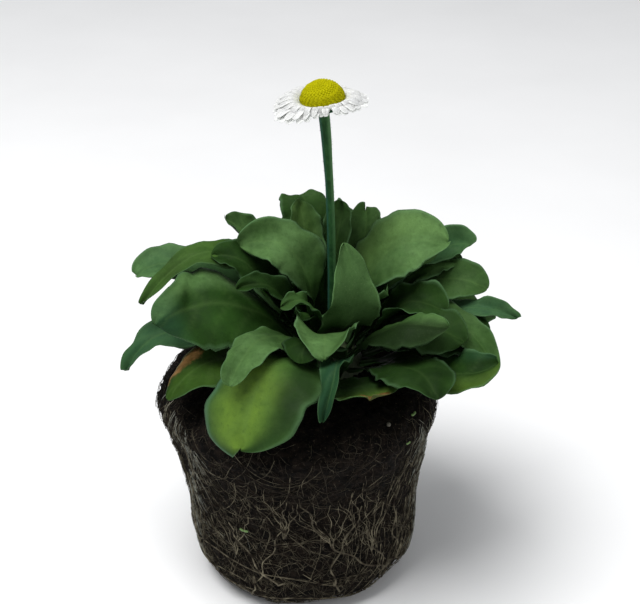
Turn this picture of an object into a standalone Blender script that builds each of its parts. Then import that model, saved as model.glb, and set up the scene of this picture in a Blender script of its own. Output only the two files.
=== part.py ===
"""An English daisy lifted out of its pot, in metres, +Z up, seen from the front along +Y.

A root ball of dark peat stands on its flat foot inside a net of roots. A short crown is sunk in its top
and carries a rosette of spoon-shaped leaves and one stalk, and the stalk carries the daisy: green bracts,
white rays and a yellow eye.
"""

import math
from collections import namedtuple
from functools import lru_cache

import bmesh
import bpy
import numpy as np
from mathutils import Matrix, Vector, noise
from mathutils.bvhtree import BVHTree

MM = 0.001
GAP = 0.3 * MM

# The root ball: a worn, tapered plug as wide as the pot that it grew in
BALL_HEIGHT = 77 * MM
BALL_TOP_RADIUS = 50.5 * MM
BALL_FOOT_RADIUS = 40.5 * MM
BALL_FOOT_SHIFT = Vector((1.8 * MM, -2.5 * MM, 0))
BALL_WAIST = 2.5 * MM
BALL_WAIST_AT = 0.6
BALL_FOOT_ROUND = 14 * MM
BALL_RIM_ROUND = 9 * MM
BALL_SIDES = 40
BALL_RUNS = (0, 0.06, 0.13, 0.2, 0.3, 0.4, 0.5, 0.6, 0.7, 0.79, 0.87, 0.94, 1)
BALL_TOP_RISE = 1.5 * MM
BALL_TOP_STEPS = 3
BALL_LUMP = 1.4 * MM
BALL_LUMP_SIZE = 17 * MM

# The net of roots: how thick they are, how far they stand off the peat, and the rings that tie the others
# together, each with its level and how far it dips, as shares of the way up the ball
ROOT_HALF = 0.65 * MM
ROOT_CLEAR = 0.7 * MM
ROOT_RINGS = ((0.29, 0.05), (0.17, 0.02))
RING_STEPS = 30

# The thick roots that the photograph shows, as (turn in degrees, share of the way up the ball) from the
# top down, and the number of others that fall between the rim and the foot round the back, from turn 0 to
# 180
FRONT_ROOTS = (
    ((212, 0.88), (220, 0.8), (214, 0.66), (207, 0.5), (207, 0.32), (210, 0.18)),
    ((234, 0.54), (240, 0.44), (249, 0.34), (262, 0.25)),
    ((264, 0.72), (264, 0.6), (258, 0.48), (252, 0.38), (246, 0.24), (243, 0.15)),
    ((270, 0.74), (276, 0.6), (282, 0.5), (291, 0.42), (303, 0.34), (318, 0.26), (330, 0.2)),
    ((288, 0.7), (294, 0.58), (309, 0.4), (316, 0.26), (318, 0.16)),
    ((300, 0.64), (294, 0.52), (288, 0.46), (284, 0.34), (288, 0.2)),
    ((321, 0.8), (321, 0.58), (318, 0.44), (327, 0.3)),
    ((312, 0.56), (327, 0.4), (338, 0.22)),
    ((357, 0.78), (354, 0.54), (351, 0.36), (346, 0.2)),
)
BACK_ROOTS = 15
MOST_TURN_STEP = 8
MOST_RUN_STEP = 0.075

# The crown, the short stump in the peat that every leaf and the stalk grow from
CROWN_AT = Vector((12 * MM, 2 * MM, BALL_HEIGHT))
CROWN_RADIUS = 12 * MM
CROWN_RISE = 13 * MM
CROWN_SUNK = 8 * MM
CROWN_SIDES = 20

# The stalk and the head that it carries, whose place is where the rays part from the eye
STALK_RADIUS = 1.45 * MM
STALK_TOP_RADIUS = 1.9 * MM
STALK_SOCKET_DEPTH = 4 * MM
STALK_SIDES = 8
STALK_RINGS = 12
HEAD_AT = Vector((8.7 * MM, 1 * MM, 179.6 * MM))
HEAD_LEAN = Vector((-0.09, -0.06, 1.0))

# The eye: a dome that is raised into a peak for each small floret
EYE_RADIUS = 7.4 * MM
EYE_HEIGHT = 7.1 * MM
EYE_FOOT = -0.8 * MM
EYE_FOOT_SIDES = 24
EYE_CELLS = 70
FLORET_DEPTH = 0.45 * MM
GOLDEN_TURN = math.pi * (3 - math.sqrt(5))

# The rays, in mm about HEAD_AT: the ring that carries them as (radius, height) corners, and the layers,
# lowest first, each with its number of rays, the (radius, height) where they start and end, and how far
# they arch. Then how much shorter they are on the right and in front, the least length of one, and the turn
# where the lower layers droop most.
RAY_RING = ((7.7, -0.8), (9.0, -0.8), (9.2, 0.2), (8.6, 0.8), (7.7, 0.8))
RAY_RING_SIDES = 24
RAY_LAYERS = (
    (26, (8.2, -0.35), (16.0, -2.6), 0.7),
    (24, (8.2, 0.1), (15.5, -0.9), 1.1),
    (20, (8.1, 0.6), (13.6, 1.3), 1.4),
)
RAY_HALF_WIDTHS = (0.7, 1.5, 0.8)
RAY_THICK = 0.65
RAY_SHORT_SIDE = 0.06
RAY_SHORT_FRONT = 0.37
RAY_LEAST = 1.3
DROOP_TURN = math.radians(212)
DROOP_LEAST = 0.35

# The green cup under the rays as (radius, height) pairs in mm, and the ring of pointed bracts round it
CUP = ((0, -1.1), (7.4, -1.1), (7.0, -1.7), (5.2, -2.6), (3.2, -3.4), (2.2, -3.9), (0, -3.9))
CUP_SIDES = 18
BRACTS = 13
BRACT_RUN = ((4.6, -1.9), (8.4, -1.9))
BRACT_HALF_WIDTHS = (1.5, 1.3, 0.3)
BRACT_THICK = 0.8

# Where a petal or a bract has its half widths, as shares of its length, and how its thickness falls there
PETAL_SHARES = (0, 0.65, 1)
PETAL_THINS = (0.75, 0.6, 0.4)

# A leaf: how thick it is, where its blade starts, and the share of its length where it is widest
BLADE_THICK = 0.9 * MM
STEM_THICK = 1.9 * MM
STEM_HALF_WIDTH = 1.35 * MM
BLADE_STARTS = 0.2
TIP_ROWS = 0.4
LEAF_ROWS = 11
LEAF_COLUMNS = 5
STEM_RUN = 9 * MM

# Small changes that move a leaf clear of its neighbours: the most that each may be, and how many are
# tried. First where it sits on the crown, a turn and a tier in degrees, and then its turn and roll in
# degrees and the height of its bend, the height of its tip and its reach in mm.
MOST_SHIFT = np.array([40.0, 9.0])
MOST_NUDGE = np.array([14.0, 25.0, 12.0, 14.0, 7.0])
NUDGES = 1600
EVEN_SPREAD = 1.0969816

# A leaf's name and its tier, where on the crown it sits. Its midrib leaves the crown square to it, is
# drawn towards bend and ends at tip. Both are given from the crown's middle at the top of the peat, as a
# turn in degrees from +X round to +Y, a reach and a height in mm. Then its width in mm; roll, the tilt of
# its blade about the midrib at the base and at the tip in degrees, left edge up; cup, how far each edge
# curls up in degrees; wave, the depth in mm of the ripple along its edge; phase, where that ripple
# starts; widest, the share of its length where it is widest; and seat, how far in degrees it sits on the
# crown from below its bend.
Leaf = namedtuple("Leaf", "name tier bend tip width roll cup wave phase widest seat", defaults=(0.64, 0))
OUTER, MIDDLE, INNER = 22, 44, 64

# The leaves that the photograph shows, those that the others were fitted round first
LEAVES = [
    Leaf("leaf_front_left_large", OUTER, (247, 55, 59), (243, 67, 1), 42, (0, 0), -20, 2.0, 0.0, 0.76),
    Leaf("leaf_front_left_folded", MIDDLE, (239, 47, 50), (239, 64, 26), 16, (0, -10), -20, 1.5, 0.8),
    Leaf("leaf_left_dome", MIDDLE, (211, 38, 52), (204, 64, 32), 35, (0, -48), -35, 1.2, 1.0),
    Leaf("leaf_centre_left", INNER, (200, 2, 60), (178, 32, 49), 20, (0, -52), 12, 2.0, 1.5),
    Leaf("leaf_front_cupped", MIDDLE, (265, 32, 42), (267, 52, 34), 24, (0, 0), 55, 1.0, 0.0),
    Leaf("leaf_front_hanging", OUTER, (273, 60, 60), (265, 61, 12), 13, (0, 20), -10, 1.2, 0.6),
    Leaf("leaf_centre_front", INNER, (293, 36, 27), (281, 20, 60), 20, (0, 0), -25, 1.0, 0.0, 0.52, -45),
    Leaf("leaf_right_broad", INNER, (350, 10, 60), (2, 40, 50), 25, (0, 42), 10, 1.6, 0.7),
    Leaf("leaf_front_right_rolled", MIDDLE, (300, 36, 40), (321, 49, 34), 19, (0, 15), -45, 1.0, 0.6),
    Leaf("leaf_front_right_round", OUTER, (305, 52, 34), (302, 63, 20), 24, (0, 0), -12, 0.8, 1.1),
    Leaf("leaf_right_low", OUTER, (310, 54, 15), (331, 64, 20), 23, (0, 20), 8, 1.4, 0.3, 0.5),
    Leaf("leaf_right_long", MIDDLE, (344, 42, 44), (333, 61, 15), 15, (0, 30), -10, 1.0, 0.0),
    Leaf("leaf_left_light", MIDDLE, (175, 53, 52), (177, 69, 36), 20, (0, -25), 12, 1.5, 2.0),
    Leaf("leaf_left_low", OUTER, (190, 64, 37), (193, 73, 9), 17, (0, -25), 10, 1.5, 0.5),
    Leaf("leaf_left_bright", MIDDLE, (180, 36, 74), (189, 66, 30), 13, (0, -25), -10, 1.2, 0.4),
    Leaf("leaf_left_old", OUTER, (210, 51, 29), (212, 65, 8), 24, (0, 0), -12, 2.2, 0.0),
    Leaf("leaf_right_hollow", MIDDLE, (337, 24, 42), (341, 41, 30), 20, (0, 20), 50, 1.0, 0.0),
    Leaf("leaf_right_upper", MIDDLE, (3, 37, 46), (358, 54, 33), 19, (0, 30), 8, 1.0, 0.3),
    Leaf("leaf_centre_small", INNER, (263, 30, 50), (239, 33, 41), 9, (0, -30), 10, 0.6, 0.0),
    Leaf("leaf_right_cupped", MIDDLE, (19, 45, 49), (14, 50, 42), 14, (0, 30), 30, 1.0, 0.3),
    Leaf("leaf_right_narrow", MIDDLE, (347, 53, 38), (351, 64, 26), 9, (0, 25), 8, 0.6, 0.3),
    Leaf("leaf_front_shaded", OUTER, (254, 41, 43), (256, 49, 29), 19, (0, 0), -10, 1.0, 0.3),
    Leaf("leaf_back_cupped", INNER, (36, 17, 56), (54, 20, 56), 15, (0, 0), 30, 1.0, 0.3),
    Leaf("leaf_behind_stalk", INNER, (67, 8, 52), (74, 14, 60), 11, (0, 0), 20, 1.0, 0.3),
    Leaf("leaf_back_upright", INNER, (140, 11, 56), (129, 18, 59), 14, (0, 0), 15, 1.0, 0.3),
    Leaf("leaf_back_left_cupped", MIDDLE, (158, 32, 53), (160, 40, 53), 15, (0, -20), 35, 1.0, 0.3),
    Leaf("leaf_left_inner", MIDDLE, (184, 29, 53), (183, 41, 46), 16, (0, -35), 15, 1.0, 0.3),
    Leaf("leaf_front_right_lowest", OUTER, (289, 42, 19), (284, 50, 17), 27, (0, 0), -5, 1.0, 0.3),
    Leaf("leaf_right_shaded", OUTER, (338, 42, 26), (336, 59, 17), 24, (0, 10), -10, 1.0, 0.3),
    Leaf("leaf_front_right_dark", MIDDLE, (318, 36, 32), (327, 52, 23), 23, (0, 15), -15, 1.0, 0.0),
    Leaf("leaf_heart_right", INNER, (325, 13, 34), (322, 23, 37), 14, (0, 20), 15, 0.8, 0.6),
]

# The leaves that those hide: tiers fanned round the back of the crown. Each has its number of leaves, its
# first and last turn in degrees, and the reach, height and width of its leaves in mm.
BACK_TIERS = (
    (OUTER, 7, 12, 162, 62, 14, 30),
    (MIDDLE, 5, 32, 148, 52, 33, 25),
    (INNER, 2, 66, 104, 30, 48, 20),
)


def lerp(a, b, share):
    return a + (b - a) * share


def smooth(share):
    share = np.clip(share, 0, 1)
    return share * share * (3 - 2 * share)


def unit(vectors):
    return vectors / np.linalg.norm(vectors, axis=-1, keepdims=True)


def from_crown(place):
    """A point from its turn in degrees, reach and height in mm about the crown."""
    turn = math.radians(place[0])
    away = np.array([math.cos(turn) * place[1], math.sin(turn) * place[1], place[2]])
    return np.array(CROWN_AT) + away * MM


def crown_seat(turn, tier):
    """A leaf's seat, the point GAP off the crown at this turn and tier, and the way square to the crown."""
    turn, tier = math.radians(turn), math.radians(tier)
    out = Vector((math.cos(turn), math.sin(turn), 0))
    seat = out * CROWN_RADIUS * math.cos(tier) + Vector((0, 0, CROWN_RISE * math.sin(tier)))
    square = (out * math.cos(tier) / CROWN_RADIUS + Vector((0, 0, math.sin(tier) / CROWN_RISE))).normalized()
    return np.array(CROWN_AT + seat + square * GAP * 1.2), np.array(square)


def midrib(leaf, at):
    """Points of the midrib at the shares `at` of its run, with its tangent, side and upward normal there."""
    seat, square = crown_seat(leaf.bend[0] + leaf.seat, leaf.tier)
    bend, tip = from_crown(leaf.bend), from_crown(leaf.tip)
    handle = seat + square * STEM_RUN
    t = np.asarray(at)[:, None]
    u = 1 - t
    points = seat * u**3 + 3 * handle * u**2 * t + 3 * bend * u * t**2 + tip * t**3
    tangent = unit((handle - seat) * u**2 + 2 * (bend - handle) * u * t + (tip - bend) * t**2)
    ahead = (tip - seat) * [1, 1, 0]
    across = unit(np.array([-ahead[1], ahead[0], 0]))
    side = unit(across - tangent * (tangent @ across)[:, None])
    normal = np.cross(tangent, side)
    roll = np.radians(lerp(leaf.roll[0], leaf.roll[1], t))
    rolled_side = side * np.cos(roll) + normal * np.sin(roll)
    rolled_normal = normal * np.cos(roll) - side * np.sin(roll)
    return points, tangent, rolled_side, rolled_normal


def half_width(leaf, at):
    """Spoon shape: a narrow stem that swells into the blade, widest near its round end."""
    opening = smooth((at - BLADE_STARTS) / (leaf.widest - BLADE_STARTS))
    closing = np.sqrt(np.clip(1 - (np.clip(at - leaf.widest, 0, 1) / (1 - leaf.widest)) ** 2, 0, 1))
    return lerp(STEM_HALF_WIDTH, leaf.width * MM / 2, opening) * closing


def leaf_surface(leaf, rows, columns, swell=0.0):
    """Upper and lower points of a leaf, each rows x columns x 3, made larger by swell on every side."""
    row = np.linspace(0, 1, rows)
    rounding = np.sin(np.clip(row - 1 + TIP_ROWS, 0, 1) / TIP_ROWS * math.pi / 2)
    at = leaf.widest * np.minimum(row / (1 - TIP_ROWS), 1) + (1 - leaf.widest) * rounding
    across = np.linspace(-1, 1, columns)
    centre, tangent, side, normal = midrib(leaf, at)
    width = half_width(leaf, at)[:, None] + swell
    blade = smooth((at - BLADE_STARTS) / 0.3)[:, None]
    curl = np.radians(leaf.cup) * blade + 1e-4
    out = width * np.sin(curl * across) / curl
    up = width * (1 - np.cos(curl * across)) / curl
    up = up + leaf.wave * MM * blade * across**2 * np.sin(14 * at[:, None] + leaf.phase + across)
    middle = centre[:, None] + side[:, None] * out[..., None] + normal[:, None] * up[..., None]
    bent = (curl * across)[..., None]
    facing = normal[:, None] * np.cos(bent) - side[:, None] * np.sin(bent)
    thick = lerp(STEM_THICK, BLADE_THICK, smooth(at / BLADE_STARTS - 0.3))[:, None] / 2
    thick = thick * np.sqrt(1 - np.abs(across) ** 4) + swell * (np.abs(across) < 1)
    return middle + facing * thick[..., None], middle - facing * thick[..., None]


@lru_cache
def leaf_topology(rows, columns):
    """Which surface points a leaf's mesh takes, as (face, row, column), and its triangles.

    The two faces share the points along the edge and the one at the tip, and are split into triangles alike.
    """
    places, faces = {}, []

    def point(face, row, column):
        if row == rows - 1:
            face, column = 0, columns // 2
        elif column in (0, columns - 1):
            face = 0
        return places.setdefault((face, row, column), len(places))

    for row in range(rows - 1):
        for column in range(columns - 1):
            for face in (0, 1):
                a, b = point(face, row, column), point(face, row + 1, column)
                c, d = point(face, row + 1, column + 1), point(face, row, column + 1)
                halves = [(a, b, c), (a, c, d)] if column < columns // 2 else [(a, b, d), (b, c, d)]
                faces += [half[::-1] if face else half for half in halves if len(set(half)) == 3]
    rim = [point(0, 0, column) for column in range(columns)]
    rim += [point(1, 0, column) for column in range(columns - 2, 0, -1)]
    faces += [(rim[0], rim[k], rim[k + 1]) for k in range(1, len(rim) - 1)]
    return np.array(list(places)).T, faces


def leaf_mesh(leaf, rows=LEAF_ROWS, columns=LEAF_COLUMNS, swell=0.0):
    """Points and triangles of a closed leaf: two faces that meet along its edge and at its tip."""
    (face, row, column), faces = leaf_topology(rows, columns)
    return np.stack(leaf_surface(leaf, rows, columns, swell))[face, row, column], faces


def nudged(leaf, number):
    """The leaf with nudge number `number`: 0 is none, and the later ones move its blade further."""
    steps = np.modf(number / EVEN_SPREAD ** np.arange(1, 8) + 0.5)[0] * 2 - 1
    shift, step = steps[:2] * MOST_SHIFT * (number > 0)
    turn, roll, bend, tip, reach = steps[2:] * number / NUDGES * MOST_NUDGE
    return leaf._replace(
        tier=leaf.tier + step,
        bend=(leaf.bend[0] + turn, leaf.bend[1] + reach / 2, leaf.bend[2] + bend),
        tip=(leaf.tip[0] + turn, leaf.tip[1] + reach, leaf.tip[2] + tip),
        roll=(leaf.roll[0], leaf.roll[1] + roll),
        seat=leaf.seat + shift,
    )


def clear_leaf(leaf, taken):
    """The leaf with the smallest nudge that keeps it GAP clear of what is taken, or None."""
    for number in range(NUDGES):
        moved = nudged(leaf, number)
        points, faces = leaf_mesh(moved, swell=GAP)
        if not taken.overlap(BVHTree.FromPolygons(points.tolist(), faces)):
            return moved
    return None


def ball_surface(turn, run):
    """A point of the root ball's skin and its outward normal there.

    run goes from 0 at the foot's edge, where the round starts, up the side and over the rim to 1.
    """
    lean = math.atan2(BALL_TOP_RADIUS - BALL_FOOT_RADIUS, BALL_HEIGHT)
    foot_arc, rim_arc = BALL_FOOT_ROUND * (math.pi / 2 + lean), BALL_RIM_ROUND * (math.pi / 2 - lean)
    foot = np.array([BALL_FOOT_RADIUS - BALL_FOOT_ROUND, BALL_FOOT_ROUND])
    rim = np.array([BALL_TOP_RADIUS - BALL_RIM_ROUND, BALL_HEIGHT - BALL_RIM_ROUND])
    square = np.array([math.cos(lean), -math.sin(lean)])
    low, high = foot + square * BALL_FOOT_ROUND, rim + square * BALL_RIM_ROUND
    side = float(np.linalg.norm(high - low))
    walked = run * (foot_arc + side + rim_arc)
    if walked < foot_arc:
        angle = -math.pi / 2 + walked / BALL_FOOT_ROUND
        normal = np.array([math.cos(angle), math.sin(angle)])
        point = foot + normal * BALL_FOOT_ROUND
    elif walked < foot_arc + side:
        normal, point = square, lerp(low, high, (walked - foot_arc) / side)
    else:
        angle = -lean + (walked - foot_arc - side) / BALL_RIM_ROUND
        normal = np.array([math.cos(angle), math.sin(angle)])
        point = rim + normal * BALL_RIM_ROUND
    out = Vector((math.cos(turn), math.sin(turn), 0))
    waist = BALL_WAIST * smooth(1 - abs(run - BALL_WAIST_AT) / (BALL_WAIST_AT - BALL_RUNS[4] * 0.8))
    shift = BALL_FOOT_SHIFT * (1 - point[1] / BALL_HEIGHT)
    skin = out * (point[0] - waist) + Vector((0, 0, point[1])) + shift
    facing = out * normal[0] + Vector((0, 0, normal[1]))
    lump = noise.noise(skin / BALL_LUMP_SIZE) * BALL_LUMP
    return skin + facing * lump * smooth(run * 12), facing


def add_material(name, colour, roughness):
    made = bpy.data.materials.new(name)
    made.use_nodes = True
    shader = made.node_tree.nodes["Principled BSDF"]
    shader.inputs["Base Color"].default_value = (*colour, 1)
    shader.inputs["Roughness"].default_value = roughness
    shader.inputs["Metallic"].default_value = 0
    return made


def add_object(name, points, faces, look, sharp_over=50):
    mesh = bpy.data.meshes.new(name)
    mesh.from_pydata([tuple(point) for point in points], [], faces)
    mesh.materials.append(look)
    made = bpy.data.objects.new(name, mesh)
    bpy.context.scene.collection.objects.link(made)
    mesh.shade_smooth()
    mesh.set_sharp_from_angle(angle=math.radians(sharp_over))
    return made


def turned(profile, sides):
    """Points and faces of a solid turned about Z from (radius, height) pairs, top first, both ends on Z."""
    points = [Vector((0, 0, profile[0][1]))]
    for radius, height in profile[1:-1]:
        for k in range(sides):
            turn = 2 * math.pi * k / sides
            points.append(Vector((radius * math.cos(turn), radius * math.sin(turn), height)))
    points.append(Vector((0, 0, profile[-1][1])))
    return points, ring_faces(len(profile) - 2, sides)


def ring_faces(rings, sides):
    """Faces between rings of points, from the top down, with one point before them and one after."""
    last = rings * sides + 1
    faces = [(0, 1 + k, 1 + (k + 1) % sides) for k in range(sides)]
    for ring in range(rings - 1):
        high, low = 1 + ring * sides, 1 + (ring + 1) * sides
        for k in range(sides):
            following = (k + 1) % sides
            faces.append((high + k, low + k, low + following, high + following))
    low = 1 + (rings - 1) * sides
    return faces + [(last, low + (k + 1) % sides, low + k) for k in range(sides)]


def cut(target, cutter, name):
    cutter.hide_render = True
    cutter.display_type = "WIRE"
    hole = target.modifiers.new(name, "BOOLEAN")
    hole.operation = "DIFFERENCE"
    hole.object = cutter


def add_soil(look):
    """The peat: the ball's skin, a gently raised top, a flat foot and a plain hole for the crown."""
    points = [Vector((0, 0, BALL_HEIGHT + BALL_TOP_RISE))]
    turns = [2 * math.pi * k / BALL_SIDES for k in range(BALL_SIDES)]
    rim = BALL_TOP_RADIUS - BALL_RIM_ROUND
    for step in range(1, BALL_TOP_STEPS):
        radius = rim * step / BALL_TOP_STEPS
        for turn in turns:
            height = BALL_HEIGHT + BALL_TOP_RISE / step
            place = Vector((radius * math.cos(turn), radius * math.sin(turn), height))
            lump = noise.noise(place / BALL_LUMP_SIZE) * BALL_LUMP
            points.append(place + Vector((0, 0, lump)))
    for run in reversed(BALL_RUNS):
        points += [ball_surface(turn, run)[0] for turn in turns]
    points.append(BALL_FOOT_SHIFT.copy())
    rings = len(BALL_RUNS) + BALL_TOP_STEPS - 1
    soil = add_object("soil", points, ring_faces(rings, BALL_SIDES), look)
    above, deep = BALL_HEIGHT + CROWN_RISE, BALL_HEIGHT - CROWN_SUNK - GAP
    hole_radius = CROWN_RADIUS + GAP
    points, faces = turned([(0, above), (hole_radius, above), (hole_radius, deep), (0, deep)], CROWN_SIDES)
    cutter = add_object("crown_hole_cutter", points, faces, look)
    cutter.location = (CROWN_AT.x, CROWN_AT.y, 0)
    cut(soil, cutter, "crown_hole")
    return soil


def add_crown(look):
    """The crown: a stump that stands in the peat, with a domed top and a socket for the stalk."""
    steps = 4
    angles = [math.pi / 2 * (1 - step / steps) for step in range(1, steps + 1)]
    dome = [(CROWN_RADIUS * math.cos(angle), CROWN_RISE * math.sin(angle)) for angle in angles]
    outline = [(0, CROWN_RISE), *dome, (CROWN_RADIUS, -CROWN_SUNK), (0, -CROWN_SUNK)]
    points, faces = turned(outline, CROWN_SIDES)
    crown = add_object("crown", points, faces, look)
    crown.location = CROWN_AT
    above, deep = CROWN_RISE + STALK_SOCKET_DEPTH, CROWN_RISE - STALK_SOCKET_DEPTH
    socket_radius = STALK_RADIUS + GAP
    socket = [(0, above), (socket_radius, above), (socket_radius, deep), (0, deep)]
    points, faces = turned(socket, STALK_SIDES)
    cutter = add_object("stalk_socket_cutter", points, faces, look)
    cutter.location = CROWN_AT
    cut(crown, cutter, "stalk_socket")
    return crown


def tube(centres, ups, widths, heights, sides, start=0.0):
    """Points and faces of a closed tube along centres; ups is the direction that its section stands up in."""
    points, faces = [], []
    count = len(centres)
    for k, (centre, up, width, height) in enumerate(zip(centres, ups, widths, heights)):
        ahead = (centres[min(k + 1, count - 1)] - centres[max(k - 1, 0)]).normalized()
        side = ahead.cross(up).normalized()
        square = side.cross(ahead)
        for corner in range(sides):
            turn = start + 2 * math.pi * corner / sides
            points.append(centre + side * width * math.cos(turn) + square * height * math.sin(turn))
    for k in range(count - 1):
        for corner in range(sides):
            a, b = k * sides + corner, k * sides + (corner + 1) % sides
            faces.append((a, a + sides, b + sides, b))
    faces.append(tuple(range(sides)))
    faces.append(tuple(range((count - 1) * sides, count * sides))[::-1])
    return points, faces


def even_jitter(number, kind):
    """A value from -1 to 1 that looks random, from a piece's number and the kind of change it drives."""
    return math.modf((number * 0.6180339887 + kind * 0.3819) * (1 + 0.37 * kind) + 0.5)[0] * 2 - 1


def back_leaves():
    number = 0
    for tier, count, first, last, reach, height, width in BACK_TIERS:
        for k in range(count):
            number += 1
            vary = [even_jitter(number, kind) for kind in range(6)]
            turn = lerp(first, last, k / (count - 1)) + 6 * vary[0]
            bend = (turn, reach * 0.62, height + 20 + 4 * vary[1])
            tip = (turn + 8 * vary[2], reach + 5 * vary[3], height + 6 * vary[4])
            roll = (0, 25 * vary[2])
            name = f"leaf_back_{number}"
            yield Leaf(name, tier, bend, tip, width + 4 * vary[5], roll, -20, 1.5, number)


def head_matrix():
    return Matrix.Translation(HEAD_AT) @ Vector((0, 0, 1)).rotation_difference(HEAD_LEAN).to_matrix().to_4x4()


def add_stalk(look):
    """The stalk: it stands in the crown's socket, leans as it rises and swells under the head."""
    foot = CROWN_AT + Vector((0, 0, CROWN_RISE - STALK_SOCKET_DEPTH + GAP))
    top = head_matrix() @ Vector((0, 0, CUP[-1][1] * MM - GAP))
    first, second = foot + Vector((0, 0, 40 * MM)), top - HEAD_LEAN.normalized() * 30 * MM
    centres, radii = [], []
    for k in range(STALK_RINGS + 1):
        t = k / STALK_RINGS
        u = 1 - t
        centres.append(foot * u**3 + first * 3 * u**2 * t + second * 3 * u * t**2 + top * t**3)
        radii.append(lerp(STALK_RADIUS, STALK_TOP_RADIUS, smooth(3 * t - 2)))
    points, faces = tube(centres, [Vector((0, -1, 0))] * len(centres), radii, radii, STALK_SIDES)
    return add_object("flower_stalk", points, faces, look)


def fused(name, solids, look):
    """One object from solids that cross each other, as points and faces. What touches nothing is dropped."""
    group = bpy.data.collections.new(name)
    bpy.context.scene.collection.children.link(group)
    made = add_object(name, *solids[0], look)
    for k, (points, faces) in enumerate(solids[1:]):
        piece = add_object(f"{name}_piece_{k}", points, faces, look)
        bpy.context.scene.collection.objects.unlink(piece)
        group.objects.link(piece)
    union = made.modifiers.new("union", "BOOLEAN")
    union.operation = "UNION"
    union.operand_type = "COLLECTION"
    union.collection = group
    union.solver = "MANIFOLD"
    bpy.context.view_layer.update()
    joined = bpy.data.meshes.new_from_object(made.evaluated_get(bpy.context.evaluated_depsgraph_get()))
    made.modifiers.clear()
    made.data = joined
    for piece in list(group.objects):
        bpy.data.objects.remove(piece, do_unlink=True)
    bpy.data.collections.remove(group)
    keep_largest(joined)
    return made


def keep_largest(mesh):
    """Leaves only the largest piece of a mesh, in triangles. One that only touches it at an edge goes too."""
    shape = bmesh.new()
    shape.from_mesh(mesh)
    bmesh.ops.triangulate(shape, faces=list(shape.faces))
    left, pieces = set(shape.faces), []
    while left:
        piece, found = [], [left.pop()]
        while found:
            face = found.pop()
            piece.append(face)
            beside = {near for edge in face.edges if len(edge.link_faces) == 2 for near in edge.link_faces}
            found += beside & left
            left -= beside
        pieces.append(piece)
    pieces.sort(key=len)
    scraps = [face for piece in pieces[:-1] for face in piece]
    bmesh.ops.delete(shape, geom=scraps, context="FACES")
    shape.to_mesh(mesh)
    shape.free()


def ring_solid(section, sides):
    """Points and faces of a ring: a closed section of (radius, height) pairs carried round Z."""
    count = len(section)
    points = [
        Vector((radius * math.cos(turn), radius * math.sin(turn), height))
        for turn in (2 * math.pi * k / sides for k in range(sides))
        for radius, height in section
    ]
    faces = []
    for k in range(sides):
        here, there = k * count, (k + 1) % sides * count
        for c in range(count):
            d = (c + 1) % count
            faces.append((here + c, there + c, there + d, here + d))
    return points, faces


def petal(turn, start, end, arch, half_widths, thick):
    """Points and faces of a thin blade that points away from Z, from its (radius, height) ends in mm."""
    out = Vector((math.cos(turn), math.sin(turn), 0))
    centres = []
    for share in PETAL_SHARES:
        height = lerp(start[1], end[1], share) + arch * math.sin(math.pi * share)
        centres.append((out * lerp(start[0], end[0], share) + Vector((0, 0, height))) * MM)
    ups = [Vector((0, 0, 1))] * len(centres)
    widths = [half * MM for half in half_widths]
    heights = [thick * thin * MM for thin in PETAL_THINS]
    return tube(centres, ups, widths, heights, 4)


def scaled(pairs):
    return [(radius * MM, height * MM) for radius, height in pairs]


def ray_reach(turn):
    """How long a ray is for its layer: longest to the left and short in front, over the stalk."""
    in_front = max(0, -math.sin(turn)) ** 4
    return 1 - RAY_SHORT_SIDE * math.cos(turn) - RAY_SHORT_FRONT * in_front


def ray_droop(turn):
    """How much of its layer's droop a ray has: all of it on the left in front, and less elsewhere."""
    return lerp(DROOP_LEAST, 1, max(0, math.cos(turn - DROOP_TURN)) ** 2)


def add_rays(look):
    """The white rays: a narrow ring round the eye that carries three layers of them."""
    solids = [ring_solid(scaled(RAY_RING), RAY_RING_SIDES)]
    number = 0
    for layer, (count, start, end, arch) in enumerate(RAY_LAYERS):
        for k in range(count):
            number += 1
            vary = [even_jitter(number, kind) for kind in range(3)]
            turn = 2 * math.pi * (k + 0.37 * layer + 0.12 * vary[0]) / count
            reach = max(end[0] * ray_reach(turn) + 0.5 * vary[1], start[0] + RAY_LEAST)
            droop = ray_droop(turn) if end[1] < 0 else 1
            tip = (reach, end[1] * droop + 0.3 * vary[2])
            solids.append(petal(turn, start, tip, arch, RAY_HALF_WIDTHS, RAY_THICK))
    rays = fused("ray_florets", solids, look)
    rays.matrix_world = head_matrix()
    return rays


def add_bracts(look):
    """The green cup under the rays, with a ring of pointed bracts."""
    solids = [turned(scaled(CUP), CUP_SIDES)]
    for k in range(BRACTS):
        solids.append(petal(2 * math.pi * k / BRACTS, *BRACT_RUN, 0.1, BRACT_HALF_WIDTHS, BRACT_THICK))
    bracts = fused("bracts", solids, look)
    bracts.matrix_world = head_matrix()
    return bracts


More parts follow.
